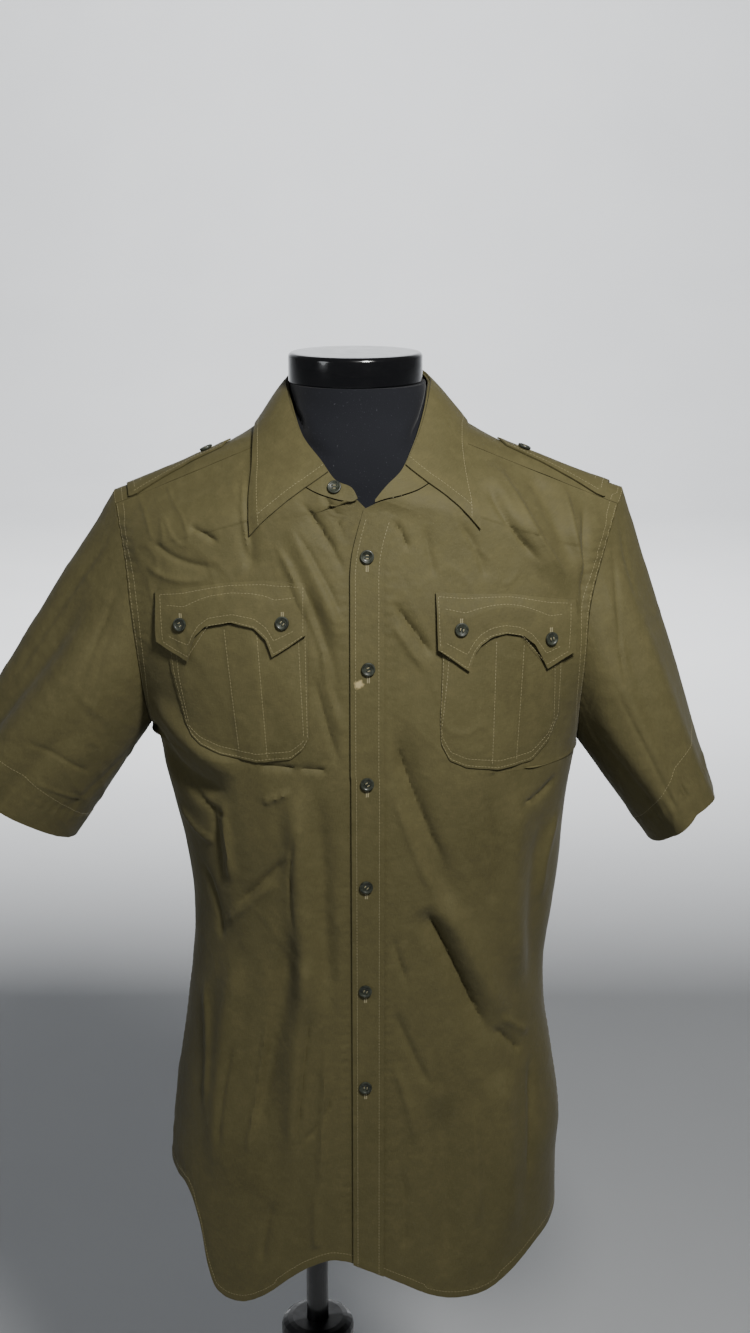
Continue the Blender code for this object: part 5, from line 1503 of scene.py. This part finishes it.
    # the stitches of this slit lie inside the stand's wall, so they don't show
    stand_view = Surface(stand, stand_n, (0, 2))
    buttonhole(pale, stand_view, STAND_HOLE, STAND_HOLE_LENGTH, True)
    ridden(pale.piece("shirt_buttonhole_thread", pale_thread()), slot="olive_cotton")
    return [items[k] for k in ("front_right", "front_left", "back", "yoke", "collar_stand")]


def build_form(clothes):
    """The padded form in black jersey, level rings kept inside the cloth."""
    trees = [tree_of(item) for item in clothes]
    around = 120
    table = np.array(FORM_ROWS, float)
    levels = np.concatenate([[705, 705.6, 707, 709.5], np.linspace(713, 1300, 60),
                             np.linspace(1304, 1474.6, 56)])
    rings = []
    for z in levels:
        wide, front, back, middle, close = along(table[:, 0], table[:, 1:], z)
        if z < 712:
            wide, front, back = (v - (712 - z) ** 2 * 0.30 for v in (wide + 8, front + 7, back + 6))
        reach = np.empty(around)
        for k in range(around):
            a = 2 * math.pi * k / around
            c, s = math.cos(a), math.sin(a)
            deep = back if s > 0 else front
            reach[k] = (abs(c / wide) ** 2.3 + abs(s / deep) ** 2.3) ** (-1 / 2.3)
            if z < 1290:
                continue
            way = Vector((c, s, 0.0))
            start = Vector(((middle + MIDDLE) * MM, 0.0, z * MM))
            for tree in trees:
                hit, normal, index, distance = tree.ray_cast(start, way)
                if hit is not None:
                    space = close / max(abs(normal.dot(way)), 0.3)
                    reach[k] = min(reach[k], distance / MM - space)
        rings.append(np.concatenate([[z, middle], reach]))
    rings = np.array(rings)
    radius = rings[:, 2:]
    for _ in range(6):
        near = (np.roll(radius, 1, 1) + np.roll(radius, -1, 1)) / 2
        radius = np.minimum(radius, near + 0.05)
        radius[1:-1] = np.minimum(radius[1:-1], (radius[2:] + radius[:-2]) / 2 + 0.4)
    angle = 2 * math.pi * np.arange(around) / around
    grid = np.stack([rings[:, 1:2] + radius * np.cos(angle), radius * np.sin(angle),
                     rings[:, :1] * np.ones((1, around))], -1)
    verts = grid.reshape(-1, 3)
    faces = grid_faces(len(levels), around, 0, False, True)
    faces.append(list(range(around))[::-1])
    last = (len(levels) - 1) * around
    faces.append(list(range(last, last + around)))
    item = mesh_piece("form_jersey", verts, faces, black_jersey(), None, 60)
    ridden(item, "form_body", slot="black_jersey")


def build_cap():
    """The glossy neck cap, turned, with rounded edges."""
    rows = [(0.0, CAP_TOP - CAP_H), (CAP_R - 3.0, CAP_TOP - CAP_H)]
    for i in range(7):
        a = math.pi / 2 * i / 6
        rows.append((CAP_R - 1.2 + 1.2 * math.sin(a), CAP_TOP - CAP_H + 1.2 - 1.2 * math.cos(a)))
    for i in range(9):
        a = math.pi / 2 * i / 8
        rows.append((CAP_R - 4.0 + 4.0 * math.cos(a), CAP_TOP - 4.0 + 4.0 * math.sin(a)))
    rows += [(CAP_R - 12.0, CAP_TOP), (0.0, CAP_TOP)]
    around = 128
    verts, faces, rings = [], [], []
    for radius, z in rows:
        count = 1 if radius < 1e-6 else around
        rings.append((len(verts), count))
        for k in range(count):
            a = 2 * math.pi * k / around
            verts.append((NECK_X + radius * math.cos(a), radius * math.sin(a), z))
    for (a0, na), (b0, nb) in zip(rings[:-1], rings[1:]):
        for k in range(around):
            loop = []
            for i in (a0 + k % na, a0 + (k + 1) % na, b0 + (k + 1) % nb, b0 + k % nb):
                if i not in loop:
                    loop.append(i)
            faces.append(loop)
    finish = gloss_black("cap_gloss_black", 0.14)
    item = mesh_piece("neck_cap_turned", np.array(verts), faces, finish, None, 35)
    ridden(item, "neck_cap", slot="gloss_cap")


def build_stand(clothes):
    build_form(clothes)
    build_cap()
    finishes = {"pole": gloss_black("pole_black_enamel", 0.28),
                "pole_collar": gloss_black("collar_black_plastic", 0.35),
                "base": gloss_black("base_black_enamel", 0.3)}
    for name, material in finishes.items():
        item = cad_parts[name]
        item = bpy.data.objects[item] if isinstance(item, str) else item
        for slot in item.material_slots:
            slot.material = material
        if not item.material_slots:
            item.data.materials.append(material)


def build_room():
    """A pale floor that turns up, far behind, into a pale wall."""
    material, tree, shader = new_material("pale_floor", rough=0.85, specular=0.2)
    places = add(tree, "ShaderNodeTexCoord").outputs["Object"]
    uneven = noise(tree, places, 1.5, 3.0)
    base = mix(tree, uneven, colour(0xD3D5D8), colour(0xDEE0E2))
    tree.links.new(base, shader.inputs["Base Color"])
    path = [(-9.0, 0.0), (7.0, 0.0)]
    for i in range(1, 25):
        a = math.pi / 2 * i / 24
        path.append((7.0 + 3.0 * math.sin(a), 3.0 - 3.0 * math.cos(a)))
    path.append((10.0, 9.0))
    verts, faces = [], []
    for y, z in path:
        for x in (-14.0, 14.0):
            verts.append((x / MM - MIDDLE, y / MM, (z - 0.0005) / MM))
    for i in range(len(path) - 1):
        a = 2 * i
        faces.append([a, a + 1, a + 3, a + 2])
    mesh_piece("room_floor", np.array(verts), faces, material)


def area_light(name, place, target, size, power, tint):
    data = bpy.data.lights.new(name, "AREA")
    data.energy = power
    data.shape = "DISK"
    data.size = size
    data.color = tint
    item = bpy.data.objects.new(name, data)
    item.location = place
    item.rotation_euler = (Vector(target) - Vector(place)).to_track_quat("-Z", "Y").to_euler()
    bpy.context.scene.collection.objects.link(item)


LIGHTS = [
    # name, place, target, size, power, tint
    ("key", (0.42, -1.00, 2.25), (0.03, 0.0, 1.15), 0.26, 29.0, (1.0, 0.99, 0.95)),
    ("side", (-1.5, -1.1, 1.7), (0.0, 0.0, 1.15), 0.6, 4.0, (0.95, 0.98, 1.0)),
    ("behind", (0.0, 3.0, 4.2), (0.0, 8.5, 2.6), 3.0, 900.0, (1, 1, 1)),
]
WORLD_TINT = (0.93, 0.96, 1.0, 1.0)
WORLD_STRENGTH = 0.10


def build_light():
    world = bpy.data.worlds.new("studio")
    world.use_nodes = True
    back = world.node_tree.nodes["Background"]
    back.inputs["Color"].default_value = WORLD_TINT
    back.inputs["Strength"].default_value = WORLD_STRENGTH
    bpy.context.scene.world = world
    for row in LIGHTS:
        area_light(*row)


def build_camera():
    data = bpy.data.cameras.new("photo_view")
    data.sensor_width = 36.0
    data.lens = 1750.0 / 1333.0 * 36.0
    data.clip_start = 0.02
    item = bpy.data.objects.new("photo_view", data)
    item.location = (0.058, -1.53, 1.650)
    item.rotation_euler = (math.radians(90 - 15.8), 0.0, 0.0)
    bpy.context.scene.collection.objects.link(item)
    bpy.context.scene.camera = item


build_camera()
clothes = build_shirt()
build_stand(clothes)
build_room()
build_light()
